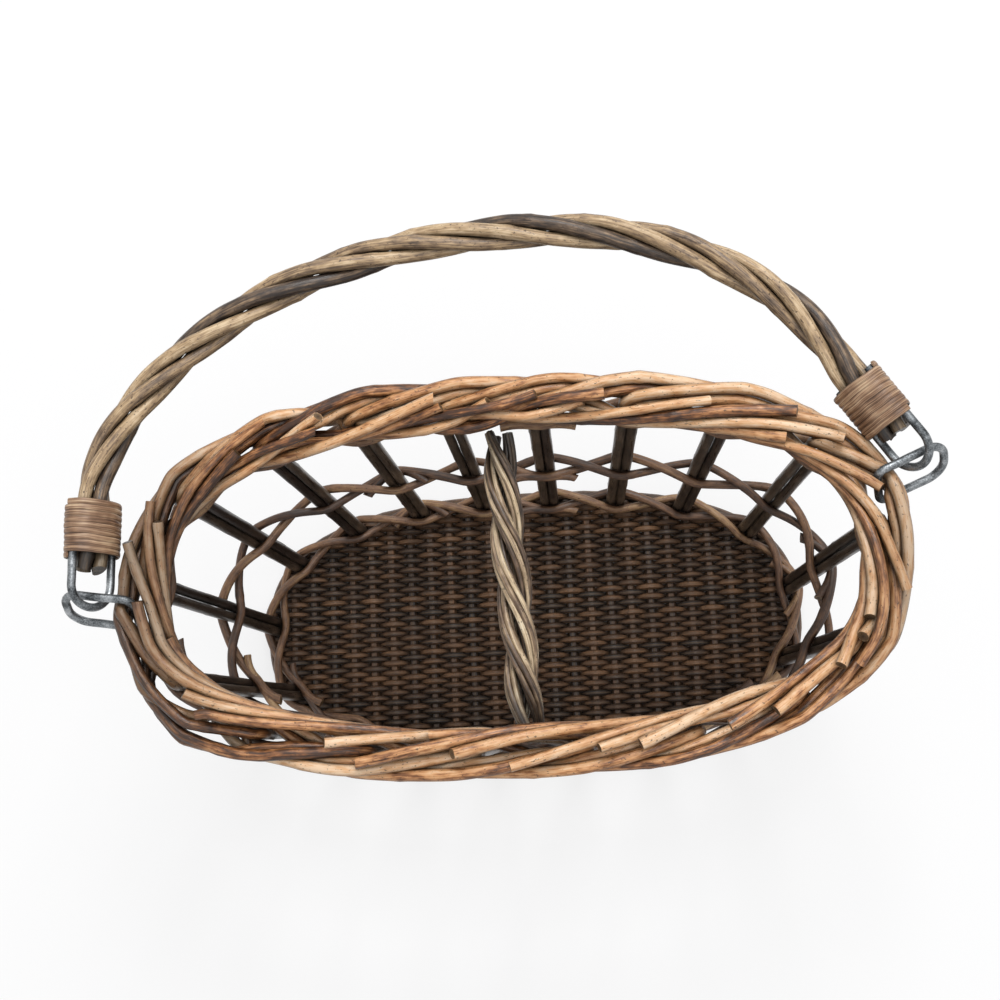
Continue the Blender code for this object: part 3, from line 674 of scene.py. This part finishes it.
def stake_line(pair, side, roll):
    """Middle line of one rod from its foot, up the wall and round the rim to its cut end."""
    points = []
    spread = STAKE_RADIUS + STAKE_STANDING_GAP / 2
    bend_start = RIM_HEIGHT - BEND_START_DEPTH
    for step in range(UPRIGHT_STEPS):
        height = STAKE_FOOT_HEIGHT + (bend_start - STAKE_FOOT_HEIGHT) * step / UPRIGHT_STEPS
        points.append(wall_point(pair + side * spread / PITCH, 0, height))
    for step, (out, lift) in enumerate(roll):
        pitches = step / GRID_PER_PITCH
        ahead = side * spread * max(0, 1 - pitches / PAIR_SPREAD_PITCHES)
        points.append(wall_point(pair + pitches + ahead / PITCH, out, RIM_HEIGHT + lift))
    return points


def eased(points):
    """The line with its corners cut once, its ends kept."""
    line = [points[0]]
    for before, after in zip(points, points[1:]):
        line += [before.lerp(after, 0.25), before.lerp(after, 0.75)]
    return line + [points[-1]]


# Brown stained willow: darker and greyer on the uprights, golden on the border where hands rub it;
# painted shade on the undersides and in the crevices, and darker towards both ends, partly by staining
# and partly by painted shade
border_willow = willow_finish(
    "stained willow rubbed on the border",
    [(0.3, "#3F2413"), (0.41, "#8C5A34"), (0.51, "#C78F5E"), (0.61, "#DAAB7D"), (0.74, "#E8C8A6")],
    foot_bark=[(0.25, "#241A14"), (0.42, "#42322A"), (0.58, "#62503F"), (0.78, "#86705A")],
    change=(RIM_HEIGHT - 12 * MM, RIM_HEIGHT - 2 * MM), gloss=0.34, underside_shade=0.36,
    stained_ends=[(-145 * MM, -80 * MM, 0.8), (150 * MM, 95 * MM, 0.42)])

rolls, roll_radii = settled_rolls()
for pair in range(PAIR_COUNT):
    draw = random.Random(100 + pair)
    pair_rods = []
    for number, side in enumerate((-1, 1)):
        line = stake_line(pair, side, rolls[2 * pair + number])
        points = line[:UPRIGHT_STEPS - 4] + eased(line[UPRIGHT_STEPS - 4:])
        radius = float(roll_radii[2 * pair + number])
        pair_rods.append(rod(points, STAKE_RADIUS * draw.uniform(1.0, 1.08), radius * 0.96, draw))
    node = f"stake_pair_{pair + 1:02d}"
    swept_piece(node + "_rods", pair_rods, border_willow, "basket", [node],
                wander=STAKE_WANDER, wander_length=STAKE_WANDER_LENGTH)


# Twined rods
# Two dark willow rods are twined round the stakes at the foot, at mid height and under the
# border. Each is several lengths, whose ends are tucked behind a stake.

WEAVER_RADIUS = 1.9 * MM
TWINING_HALF_DEPTH = 2.1 * MM
TWINING_GAP = 0.35 * MM
CROSSING_RISE = 2.15 * MM
WEAVER_LENGTHS = 3
TUCK_STATIONS = 0.42
TUCK_DEPTH = 4.0 * MM
WEAVER_STEPS_PER_PITCH = 16
TWINING_HEIGHTS = {"foot_wale": 13.5 * MM, "mid_fitch": 80.55 * MM, "top_wale": 162.0 * MM}
WEAVER_WANDER = 1.5 * MM
WEAVER_WANDER_LENGTH = 32 * MM
STRAIGHT_RUNS = 0.95


def twined_rods(strand, height, draw):
    """The lengths of one strand: it passes a stake on the outside, the next on the inside."""
    reach = TWINING_HALF_DEPTH + TWINING_GAP + WEAVER_RADIUS
    rods = []
    share = PAIR_COUNT / WEAVER_LENGTHS
    for length in range(WEAVER_LENGTHS):
        start = length * share + 2 * strand - TUCK_STATIONS
        stop = start + share + 2 * TUCK_STATIONS
        steps = round((stop - start) * WEAVER_STEPS_PER_PITCH)
        points = []
        for step in range(steps + 1):
            station = start + (stop - start) * step / steps
            turn = math.pi * (station + strand)
            out = reach * math.asin(STRAIGHT_RUNS * math.cos(turn)) / math.asin(STRAIGHT_RUNS)
            lift = CROSSING_RISE * math.sin(turn)
            tail = max(0, start + TUCK_STATIONS - station, station - stop + TUCK_STATIONS) / TUCK_STATIONS
            points.append(wall_point(station, out - TUCK_DEPTH * tail ** 2, height + lift))
        rods.append(rod(points, WEAVER_RADIUS * 1.08, WEAVER_RADIUS * 0.86, draw))
    return rods


# Dark willow, mostly shaded by the border: brown-grey with dull lights
weaver_willow = willow_finish(
    "dark stained willow weavers",
    [(0.25, "#2C1D15"), (0.42, "#513827"), (0.58, "#7D5B41"), (0.78, "#A98962")], gloss=0.45)
for number, (name, height) in enumerate(TWINING_HEIGHTS.items()):
    for strand in range(2):
        draw = random.Random(200 + 2 * number + strand)
        node = f"{name}_{strand + 1}"
        swept_piece(node + "_rods", twined_rods(strand, height, draw), weaver_willow, "basket",
                    [node], wander=WEAVER_WANDER, wander_length=WEAVER_WANDER_LENGTH)


# Divider
# Three thick bundles of split willow are twisted together across the middle, from the rods
# under one side of the rim to those under the other. They keep two bottles apart.

DIVIDER_STRAND_RADIUS = 3.1 * MM
DIVIDER_STRANDS = 3
DIVIDER_LAY = 75.0 * MM
DIVIDER_HELIX = 3.87 * MM
DIVIDER_HALF_SPAN = 54.0 * MM
DIVIDER_SLANT = 3.0 * MM
DIVIDER_PINCH_LENGTH = 12.0 * MM
DIVIDER_STEPS = 90
BUNDLE_STEMS = 6
STEM_RADIUS = 1.15 * MM
STEM_RING = 1.95 * MM
STEM_LAY = 120.0 * MM


def divider_rods(strand, draw):
    """One bundle: stems lie round a middle stem and turn slowly about it."""
    centres = []
    for step in range(DIVIDER_STEPS + 1):
        y = DIVIDER_HALF_SPAN * (2 * step / DIVIDER_STEPS - 1)
        angle = 2 * math.pi * (y / DIVIDER_LAY + strand / DIVIDER_STRANDS)
        centres.append(Vector((DIVIDER_HELIX * math.cos(angle) - DIVIDER_SLANT * y / DIVIDER_HALF_SPAN, y,
                               TWINING_HEIGHTS["top_wale"] + DIVIDER_HELIX * math.sin(angle))))
    rods = [rod(centres, STEM_RADIUS, STEM_RADIUS, draw, buds=False)]
    for stem in range(BUNDLE_STEMS):
        points = []
        wide = STEM_RING * draw.uniform(0.88, 1.08)
        for step, centre in enumerate(centres):
            ahead = centres[min(step + 1, DIVIDER_STEPS)] - centres[max(step - 1, 0)]
            across = ahead.cross(UP).normalized()
            above = across.cross(ahead).normalized()
            angle = 2 * math.pi * (stem / BUNDLE_STEMS + centre.y / STEM_LAY)
            pinch = max(0, abs(centre.y) - DIVIDER_HALF_SPAN + DIVIDER_PINCH_LENGTH) / DIVIDER_PINCH_LENGTH
            ring = wide * (1 - 0.5 * pinch)
            points.append(centre + (across * math.cos(angle) + above * math.sin(angle)) * ring)
        radius = STEM_RADIUS * draw.uniform(0.85, 1.12)
        rods.append(rod(points, radius, radius * draw.uniform(0.85, 1), draw, buds=False))
    return rods


# Weathered split willow: grey-brown with cream where the peeled side shows; painted shade on the undersides, darker
# near both ends
divider_willow = willow_finish(
    "weathered split willow",
    [(0.25, "#2E2118"), (0.42, "#68523F"), (0.55, "#9C8469"), (0.7, "#D2BB98"), (0.85, "#EADCC2")],
    gloss=0.38, streak=0.7, underside_shade=0.55,
    stained_places=[(0, side * DIVIDER_HALF_SPAN, TWINING_HEIGHTS["top_wale"]) for side in (-1, 1)],
    stained_reach=(5 * MM, 22 * MM))
for strand in range(DIVIDER_STRANDS):
    draw = random.Random(300 + strand)
    node = f"divider_strand_{strand + 1}"
    swept_piece(node + "_stems", divider_rods(strand, draw), divider_willow, "basket",
                [node], sides=8, wander=0.8 * MM)


# Iron rings
# A closed link of round black iron wire, bent by hand, lies round the border's rods at each
# end. Its weld is on the leg inside the border.

WIRE_SIDES = 18
IRON_WANDER = 0.5 * MM


def iron_finish(name):
    """Black forged iron wire, grey with wear: mill scale, paler spots polished by handling and hammer dimples."""
    scale_size, dimple_size, speck_size = 5 * MM, 2.4 * MM, 0.5 * MM
    made, tree, output = new_material(name)
    place = add(tree, "ShaderNodeTexCoord").outputs["Object"]
    patches = add(tree, "ShaderNodeTexNoise", {"Vector": place, "Scale": 1 / scale_size, "Detail": 4.0})
    dimples = add(tree, "ShaderNodeTexNoise", {"Vector": place, "Scale": 1 / dimple_size, "Detail": 2.0})
    specks = add(tree, "ShaderNodeTexNoise", {"Vector": place, "Scale": 1 / speck_size, "Detail": 2.0})
    mixed = add(tree, "ShaderNodeMix", {0: 0.35, 2: patches, 3: specks}, data_type="FLOAT")
    colour = ramp(tree, mixed, [(0.34, "#2B2D2F"), (0.45, "#5C6063"), (0.56, "#8C9093"), (0.7, "#BBBEC1")])
    roughness = add(tree, "ShaderNodeMapRange", {0: mixed, 1: 0.35, 2: 0.65, 3: 0.55, 4: 0.36})
    relief = add(tree, "ShaderNodeMath", {0: specks, 1: 0.25, 2: dimples}, operation="MULTIPLY_ADD")
    bump = add(tree, "ShaderNodeBump", {"Strength": 0.6, "Distance": 0.3 * MM, "Height": relief})
    shader = add(tree, "ShaderNodeBsdfPrincipled",
                 {"Base Color": colour, "Roughness": roughness, "Normal": bump, "Metallic": 0.85})
    tree.links.new(shader.outputs[0], output.inputs["Surface"])
    return made


forged_iron = iron_finish("forged black iron wire")
for side_name, end in (("right", 1), ("left", -1)):
    draw = random.Random(400 + end)
    wire = rod(ring_line(end), RING_WIRE_RADIUS, RING_WIRE_RADIUS, draw, buds=False, closed=True)
    swept_piece(f"ring_{side_name}_wire", [wire], forged_iron, f"ring_{side_name}",
                [f"ring_{side_name}"], sides=WIRE_SIDES, wander=IRON_WANDER, wander_length=9 * MM)


# Handle
# Four willow rods, laid together like a rope and bent into a flat arch by hand. Their ends are
# cut off just past the bindings.

HANDLE_REACH = 107.5 * MM
HANDLE_SKEW = 0.07
HANDLE_LAY = 115.0 * MM
HANDLE_FOOT_LENGTH = 36.0 * MM
HANDLE_LEAN = {1: math.radians(24), -1: math.radians(12)}
HANDLE_SHOULDER = {1: 6.0 * MM, -1: 26.0 * MM}
HANDLE_CROWN = {1: 117.0 * MM, -1: 82.0 * MM}
HANDLE_ROD_START = 9.5 * MM
HANDLE_ROD_RADIUS = 2.6 * MM
HANDLE_ROD_COUNT = 4
HANDLE_HELIX = 3.75 * MM
HANDLE_STEPS = 240
RING_CONTACT_REACH = 17.5 * MM
EYE_TILT = math.radians(36)


def handle_frame():
    """The swing axis runs through both rings' upper legs; the handle lies back from it."""
    right = ring_point(RING_CONTACT_REACH, RING_HALF_WIDTH, 1)
    left = ring_point(RING_CONTACT_REACH, RING_HALF_WIDTH, -1)
    axis = (right - left).normalized()
    back = UP.cross(axis)
    return (left + right) / 2, axis, back, axis.cross(back), (right - left).length / 2


def foot_frame(end):
    """Start, direction up the foot and the direction in which the eye's legs stand apart."""
    middle, axis, back, face, half_span = handle_frame()
    start = middle + axis * (half_span * end)
    up_foot = (back - axis * (end * math.tan(HANDLE_LEAN[end]) + HANDLE_SKEW)).normalized()
    beside = face.cross(up_foot) * end
    return start, up_foot, face * math.cos(EYE_TILT) - beside * math.sin(EYE_TILT)


def half_arch(end, half_span):
    """One side of the handle's centre line in its own plane, from its foot to the middle."""
    sine, cosine = math.sin(HANDLE_LEAN[end]), math.cos(HANDLE_LEAN[end])
    foot_top = (half_span - HANDLE_FOOT_LENGTH * sine, HANDLE_FOOT_LENGTH * cosine)
    shoulder = HANDLE_SHOULDER[end]
    controls = (foot_top, (foot_top[0] - shoulder * sine, foot_top[1] + shoulder * cosine),
                (HANDLE_CROWN[end], HANDLE_REACH), (0, HANDLE_REACH))
    side = [(half_span - HANDLE_ROD_START * sine, HANDLE_ROD_START * cosine)]
    samples = 80
    return side + [tuple(bezier(controls, step / samples)) for step in range(samples + 1)]


def even_points(points, steps):
    """The same line with evenly spaced points, and its length."""
    lengths = [0.0]
    for before, after in zip(points, points[1:]):
        lengths.append(lengths[-1] + (after - before).length)
    even = []
    index = 0
    for step in range(steps + 1):
        wanted = lengths[-1] * step / steps
        while index < len(lengths) - 2 and lengths[index + 1] < wanted:
            index += 1
        part = (wanted - lengths[index]) / (lengths[index + 1] - lengths[index])
        even.append(points[index].lerp(points[index + 1], part))
    return even, lengths[-1]


def handle_centres():
    """Centre line of the whole arch, from the right foot to the left, and its length."""
    middle, axis, back, _, half_span = handle_frame()
    right = half_arch(1, half_span)
    left = [(-wide, away) for wide, away in reversed(half_arch(-1, half_span)[:-1])]
    line = [middle + axis * (wide - HANDLE_SKEW * away) + back * away for wide, away in right + left]
    return even_points(line, HANDLE_STEPS)


def handle_rods(number, draw):
    """One of the four rods, wound about the arch's centre line."""
    face = handle_frame()[3]
    centres, length = handle_centres()
    points = []
    for step, centre in enumerate(centres):
        ahead = centres[min(step + 1, HANDLE_STEPS)] - centres[max(step - 1, 0)]
        side = face.cross(ahead).normalized()
        angle = 2 * math.pi * (length * step / HANDLE_STEPS / HANDLE_LAY + number / HANDLE_ROD_COUNT)
        points.append(centre + (side * math.cos(angle) + face * math.sin(angle)) * HANDLE_HELIX)
    return rod(points, HANDLE_ROD_RADIUS * draw.uniform(0.95, 1.06), HANDLE_ROD_RADIUS * draw.uniform(0.9, 1), draw)


# Willow with its bark on, weathered grey-olive, with golden lights where hands rub it; painted shade on
# the undersides, and darker round both feet
handle_willow = willow_finish(
    "weathered willow handle",
    [(0.3, "#2C211A"), (0.42, "#5C4A3A"), (0.52, "#856E56"), (0.62, "#AE926F"), (0.76, "#D4BC9A")],
    gloss=0.4, streak=0.62, underside_shade=0.6, stained_places=[foot_frame(end)[0] + foot_frame(end)[1] * 9 * MM
                                                           for end in (1, -1)],
    stained_reach=(15 * MM, 27 * MM))
for number in range(HANDLE_ROD_COUNT):
    draw = random.Random(500 + number)
    node = f"handle_rod_{number + 1}"
    swept_piece(node + "_willow", [handle_rods(number, draw)], handle_willow, "handle",
                [node], sides=14, wander=1.2 * MM)


# Iron eyes
# A bent wire at each foot of the handle: its turn holds the ring and its legs lie along the
# rods, tied under the binding.

EYE_WIRE_RADIUS = 1.5 * MM
EYE_SLACK = 1.0 * MM
EYE_LEG_END = 33.5 * MM
EYE_TURN_STEPS = 24
EYE_LEG_STEPS = 10
CLEARANCE = 0.35 * MM
HANDLE_RADIUS = 3.748 * MM + 2.4 * MM
EYE_HALF_WIDTH = HANDLE_RADIUS + CLEARANCE + EYE_WIRE_RADIUS
EYE_TURN_CENTRE = EYE_HALF_WIDTH - EYE_WIRE_RADIUS - RING_WIRE_RADIUS - EYE_SLACK


def eye_line(end):
    """Down one leg, round the turn and up the other leg."""
    start, up_foot, apart = foot_frame(end)
    points = []
    for side in (1, -1):
        leg = []
        for step in range(EYE_LEG_STEPS):
            away = EYE_LEG_END + (EYE_TURN_CENTRE - EYE_LEG_END) * step / EYE_LEG_STEPS
            leg.append(start + up_foot * away + apart * (side * EYE_HALF_WIDTH))
        points += leg if side > 0 else reversed(leg)
        if side > 0:
            for step in range(EYE_TURN_STEPS + 1):
                angle = math.pi * step / EYE_TURN_STEPS
                points.append(start + up_foot * (EYE_TURN_CENTRE - EYE_HALF_WIDTH * math.sin(angle))
                              + apart * (EYE_HALF_WIDTH * math.cos(angle)))
    return points


for side_name, end in (("right", 1), ("left", -1)):
    draw = random.Random(600 + end)
    wire = rod(eye_line(end), EYE_WIRE_RADIUS, EYE_WIRE_RADIUS, draw, buds=False)
    swept_piece(f"eye_{side_name}_wire", [wire], forged_iron, "handle",
                [f"eye_{side_name}"], sides=WIRE_SIDES, wander=IRON_WANDER, wander_length=9 * MM)


# Bindings
# A split willow skein is wound nine times round each foot of the handle and the eye's legs, each
# turn against the last.

BINDING_START = 14.0 * MM
BINDING_TURNS = 9
BINDING_PITCH = 2.1 * MM
SKEIN_WIDTH = 2.35 * MM
SKEIN_THICKNESS = 0.9 * MM
SKEIN_POINTS_PER_TURN = 40
SKEIN_PROFILE_POINTS = 10


def skein_tree():
    """Geometry nodes that wind a flat skein round an oval foot, as one unbroken strip."""
    tree = bpy.data.node_groups.new("wound skein", "GeometryNodeTree")
    tree.interface.new_socket("Geometry", in_out="INPUT", socket_type="NodeSocketGeometry")
    for name, kind in (("Turns", "Float"), ("Height", "Float"), ("Half Length", "Float"), ("Half Depth", "Float"),
                       ("Width", "Float"), ("Thickness", "Float"), ("Looseness", "Float"), ("Seed", "Float"),
                       ("Finish", "Material")):
        tree.interface.new_socket(name, in_out="INPUT", socket_type="NodeSocket" + kind)
    tree.interface.new_socket("Geometry", in_out="OUTPUT", socket_type="NodeSocketGeometry")
    given = add(tree, "NodeGroupInput").outputs
    spiral = add(tree, "GeometryNodeCurveSpiral",
                 {"Resolution": SKEIN_POINTS_PER_TURN, "Rotations": given["Turns"], "Start Radius": 1.0,
                  "End Radius": 1.0, "Height": given["Height"]})
    oval = add(tree, "ShaderNodeCombineXYZ", {"X": given["Half Length"], "Y": given["Half Depth"], "Z": 1.0})
    placed = add(tree, "ShaderNodeVectorMath",
                 {0: add(tree, "GeometryNodeInputPosition"), 1: oval}, operation="MULTIPLY")
    wound = add(tree, "GeometryNodeSetPosition", {"Geometry": spiral, "Position": placed})
    drift = add(tree, "ShaderNodeTexNoise",
                {"Vector": add(tree, "GeometryNodeInputPosition"), "W": given["Seed"], "Scale": 1 / (7 * MM),
                 "Detail": 1.0}, noise_dimensions="4D").outputs["Color"]
    centred = add(tree, "ShaderNodeVectorMath", {0: drift, 1: (0.5, 0.5, 0.5)}, operation="SUBTRACT")
    shift = add(tree, "ShaderNodeVectorMath", {0: centred, "Scale": given["Looseness"]}, operation="SCALE")
    wound = add(tree, "GeometryNodeSetPosition", {"Geometry": wound, "Offset": shift})
    wound = add(tree, "GeometryNodeSetCurveNormal", {"Curve": wound}, mode="Z_UP")
    travel = add(tree, "GeometryNodeSplineParameter").outputs["Length"]
    wound = add(tree, "GeometryNodeStoreNamedAttribute",
                {"Geometry": wound, "Name": "skein_travel", "Value": travel}, data_type="FLOAT")
    profile = add(tree, "GeometryNodeCurvePrimitiveCircle", {"Resolution": SKEIN_PROFILE_POINTS, "Radius": 0.5})
    profile = add(tree, "GeometryNodeStoreNamedAttribute",
                  {"Geometry": profile, "Name": "rod_rim", "Value": add(tree, "GeometryNodeInputPosition")},
                  data_type="FLOAT_VECTOR")
    flat = add(tree, "ShaderNodeCombineXYZ", {"X": given["Thickness"], "Y": given["Width"], "Z": 1.0})
    squeezed = add(tree, "ShaderNodeVectorMath",
                   {0: add(tree, "GeometryNodeInputPosition"), 1: flat}, operation="MULTIPLY")
    profile = add(tree, "GeometryNodeSetPosition", {"Geometry": profile, "Position": squeezed})
    strip = add(tree, "GeometryNodeCurveToMesh",
                {"Curve": wound, "Profile Curve": profile, "Scale": 1.0, "Fill Caps": True})
    rim = add(tree, "GeometryNodeInputNamedAttribute", {"Name": "rod_rim"}, data_type="FLOAT_VECTOR")
    across = add(tree, "ShaderNodeVectorMath", {0: rim, 1: flat}, operation="MULTIPLY")
    length = add(tree, "GeometryNodeInputNamedAttribute", {"Name": "skein_travel"}, data_type="FLOAT")
    long_place = add(tree, "ShaderNodeCombineXYZ", {"Z": length})
    straight = add(tree, "ShaderNodeVectorMath", {0: across, 1: long_place}, operation="ADD")
    strip = add(tree, "GeometryNodeStoreNamedAttribute",
                {"Geometry": strip, "Name": "rod_place", "Value": straight}, data_type="FLOAT_VECTOR")
    strip = add(tree, "GeometryNodeRemoveAttribute", {"Geometry": strip, "Name": "skein_travel"})
    strip = add(tree, "GeometryNodeSetShadeSmooth", {"Geometry": strip})
    strip = add(tree, "GeometryNodeSetMaterial", {"Geometry": strip, "Material": given["Finish"]})
    add(tree, "NodeGroupOutput", {"Geometry": strip})
    return tree


def skein_finish(name):
    """Split willow skein, stained red-brown: fine pale lines along it and dark edges."""
    line_width, line_length, patch = 0.28 * MM, 14 * MM, 8 * MM
    made, tree, output = new_material(name)
    place = add(tree, "ShaderNodeAttribute", attribute_name="rod_place").outputs["Vector"]
    rim = add(tree, "ShaderNodeAttribute", attribute_name="rod_rim").outputs["Vector"]
    scaled = add(tree, "ShaderNodeVectorMath",
                 {0: place, 1: (1 / line_width, 1 / line_width, 1 / line_length)}, operation="MULTIPLY")
    lines = add(tree, "ShaderNodeTexNoise", {"Vector": scaled, "Scale": 1.0, "Detail": 2.0})
    patches = add(tree, "ShaderNodeTexNoise",
                  {"Vector": add(tree, "ShaderNodeTexCoord").outputs["Object"], "Scale": 1 / patch})
    mixed = add(tree, "ShaderNodeMix", {0: 0.6, 2: patches, 3: lines}, data_type="FLOAT")
    colour = ramp(tree, mixed, [(0.34, "#402B1E"), (0.46, "#785840"), (0.56, "#A48468"), (0.68, "#D0B796")])
    side = add(tree, "ShaderNodeMath",
               {0: add(tree, "ShaderNodeSeparateXYZ", {0: rim}).outputs["Y"]}, operation="ABSOLUTE")
    edge = add(tree, "ShaderNodeMapRange", {0: side, 1: 0.3, 2: 0.5, 3: 1.0, 4: 0.4})
    colour = add(tree, "ShaderNodeMix", {0: 1.0, 6: colour, 7: edge}, data_type="RGBA",
                 blend_type="MULTIPLY").outputs[2]
    bump = add(tree, "ShaderNodeBump", {"Strength": 0.6, "Distance": 0.2 * MM, "Height": lines})
    shader = add(tree, "ShaderNodeBsdfPrincipled",
                 {"Base Color": colour, "Roughness": 0.45, "Normal": bump, "IOR": 1.5})
    tree.links.new(shader.outputs[0], output.inputs["Surface"])
    return made


SKEIN = skein_tree()
willow_skein = skein_finish("split willow skein")
for side_name, end in (("right", 1), ("left", -1)):
    start, up_foot, apart = foot_frame(end)
    across = up_foot.cross(apart)
    name = f"binding_{side_name}_skein"
    piece = bpy.data.objects.new(name, bpy.data.meshes.new(name))
    bpy.context.scene.collection.objects.link(piece)
    with_nodes(
        piece, SKEIN, Turns=float(BINDING_TURNS), Height=BINDING_TURNS * BINDING_PITCH,
        Half_Length=EYE_HALF_WIDTH + EYE_WIRE_RADIUS + CLEARANCE + SKEIN_THICKNESS / 2,
        Half_Depth=HANDLE_RADIUS + 2 * CLEARANCE + SKEIN_THICKNESS / 2, Width=SKEIN_WIDTH,
        Thickness=SKEIN_THICKNESS, Looseness=0.9 * MM, Seed=float(end), Finish=willow_skein)
    turned = Matrix((apart, across, up_foot)).transposed().to_4x4()
    piece.data.transform(Matrix.Translation(start + up_foot * BINDING_START) @ turned)
    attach(piece, "handle")
    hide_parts(f"binding_{side_name}")


# Floor, light and camera
# A plain white floor that keeps a faint shadow near the basket, soft light from the handle's
# side and from above, and the photograph's steep close view.

FLOOR_SIZE = 6.0
FLOOR_WHITE = 0.70
SHADOW_REACH = (0.25, 0.9)
CAMERA_PLACE = Vector((0.0270, -0.0681, 0.6726))
CAMERA_AZIMUTH = math.radians(-17.2)
CAMERA_ELEVATION = math.radians(78.7)
CAMERA_ROLL = math.radians(-20.2)
FOCAL_LENGTH_PX = 1420
PHOTO_WIDTH_PX = 1000


def seen_directly(tree):
    """1 for rays of the camera, of gloss and of transmission, which see a plain white ground."""
    path = add(tree, "ShaderNodeLightPath").outputs
    glossy = add(tree, "ShaderNodeMath", {0: path["Is Camera Ray"], 1: path["Is Glossy Ray"]},
                 operation="ADD", use_clamp=True)
    return add(tree, "ShaderNodeMath", {0: glossy, 1: path["Is Transmission Ray"]},
               operation="ADD", use_clamp=True)


floor_mesh = bpy.data.meshes.new("floor")
half_floor = FLOOR_SIZE / 2
floor_mesh.from_pydata(
    [(-half_floor, -half_floor, 0), (half_floor, -half_floor, 0), (half_floor, half_floor, 0), (-half_floor, half_floor, 0)],
    [], [(0, 1, 2, 3)])
floor = bpy.data.objects.new("floor", floor_mesh)
bpy.context.scene.collection.objects.link(floor)
white_ground, tree, output = new_material("white paper ground")
far = add(tree, "ShaderNodeVectorMath", {0: add(tree, "ShaderNodeTexCoord").outputs["Object"]}, operation="LENGTH")
whiteness = add(tree, "ShaderNodeMapRange", {0: far.outputs["Value"], 1: SHADOW_REACH[0], 2: SHADOW_REACH[1],
                                             3: FLOOR_WHITE, 4: 1.0}, interpolation_type="SMOOTHSTEP")
share = add(tree, "ShaderNodeMath", {0: seen_directly(tree), 1: whiteness}, operation="MULTIPLY")
paper = add(tree, "ShaderNodeBsdfDiffuse", {"Color": linear("#F4F4F5")})
glow = add(tree, "ShaderNodeEmission", {"Color": (1, 1, 1, 1), "Strength": 1.0})
tree.links.new(add(tree, "ShaderNodeMixShader", {0: share, 1: paper, 2: glow}).outputs[0], output.inputs["Surface"])
floor_mesh.materials.append(white_ground)

world = bpy.data.worlds.new("white studio")
bpy.context.scene.world = world
world.use_nodes = True
world.node_tree.nodes.clear()
tree = world.node_tree
strength = add(tree, "ShaderNodeMapRange", {0: seen_directly(tree), 3: 0.62, 4: 1.0})
sky = add(tree, "ShaderNodeBackground", {"Color": (1, 1, 1, 1), "Strength": strength})
add(tree, "ShaderNodeOutputWorld", {"Surface": sky})

for name, place, size, power in (
        ("key softbox", Vector((0.15, 0.8, 1.25)), 0.5, 10.0),
        ("overhead softbox", Vector((0.3, -0.1, 1.7)), 0.8, 5.0)):
    lamp = bpy.data.lights.new(name, "AREA")
    lamp.shape = "SQUARE"
    lamp.size = size
    lamp.energy = power
    light = bpy.data.objects.new(name, lamp)
    light.location = place
    light.rotation_euler = (Vector((0, 0, 0.1)) - place).to_track_quat("-Z", "Y").to_euler()
    bpy.context.scene.collection.objects.link(light)

view = Vector((math.sin(CAMERA_AZIMUTH) * math.cos(CAMERA_ELEVATION),
               math.cos(CAMERA_AZIMUTH) * math.cos(CAMERA_ELEVATION), -math.sin(CAMERA_ELEVATION)))
level_right = view.cross(UP).normalized()
level_up = level_right.cross(view)
camera_right = level_right * math.cos(CAMERA_ROLL) + level_up * math.sin(CAMERA_ROLL)
camera_up = level_up * math.cos(CAMERA_ROLL) - level_right * math.sin(CAMERA_ROLL)
lens = bpy.data.cameras.new("photo view")
lens.sensor_width = 36.0
lens.lens = lens.sensor_width * FOCAL_LENGTH_PX / PHOTO_WIDTH_PX
camera = bpy.data.objects.new("photo view", lens)
camera.matrix_world = (Matrix.Translation(CAMERA_PLACE)
                       @ Matrix((camera_right, camera_up, -view)).transposed().to_4x4())
bpy.context.scene.collection.objects.link(camera)
bpy.context.scene.camera = camera
bpy.context.scene.view_settings.view_transform = "Standard"
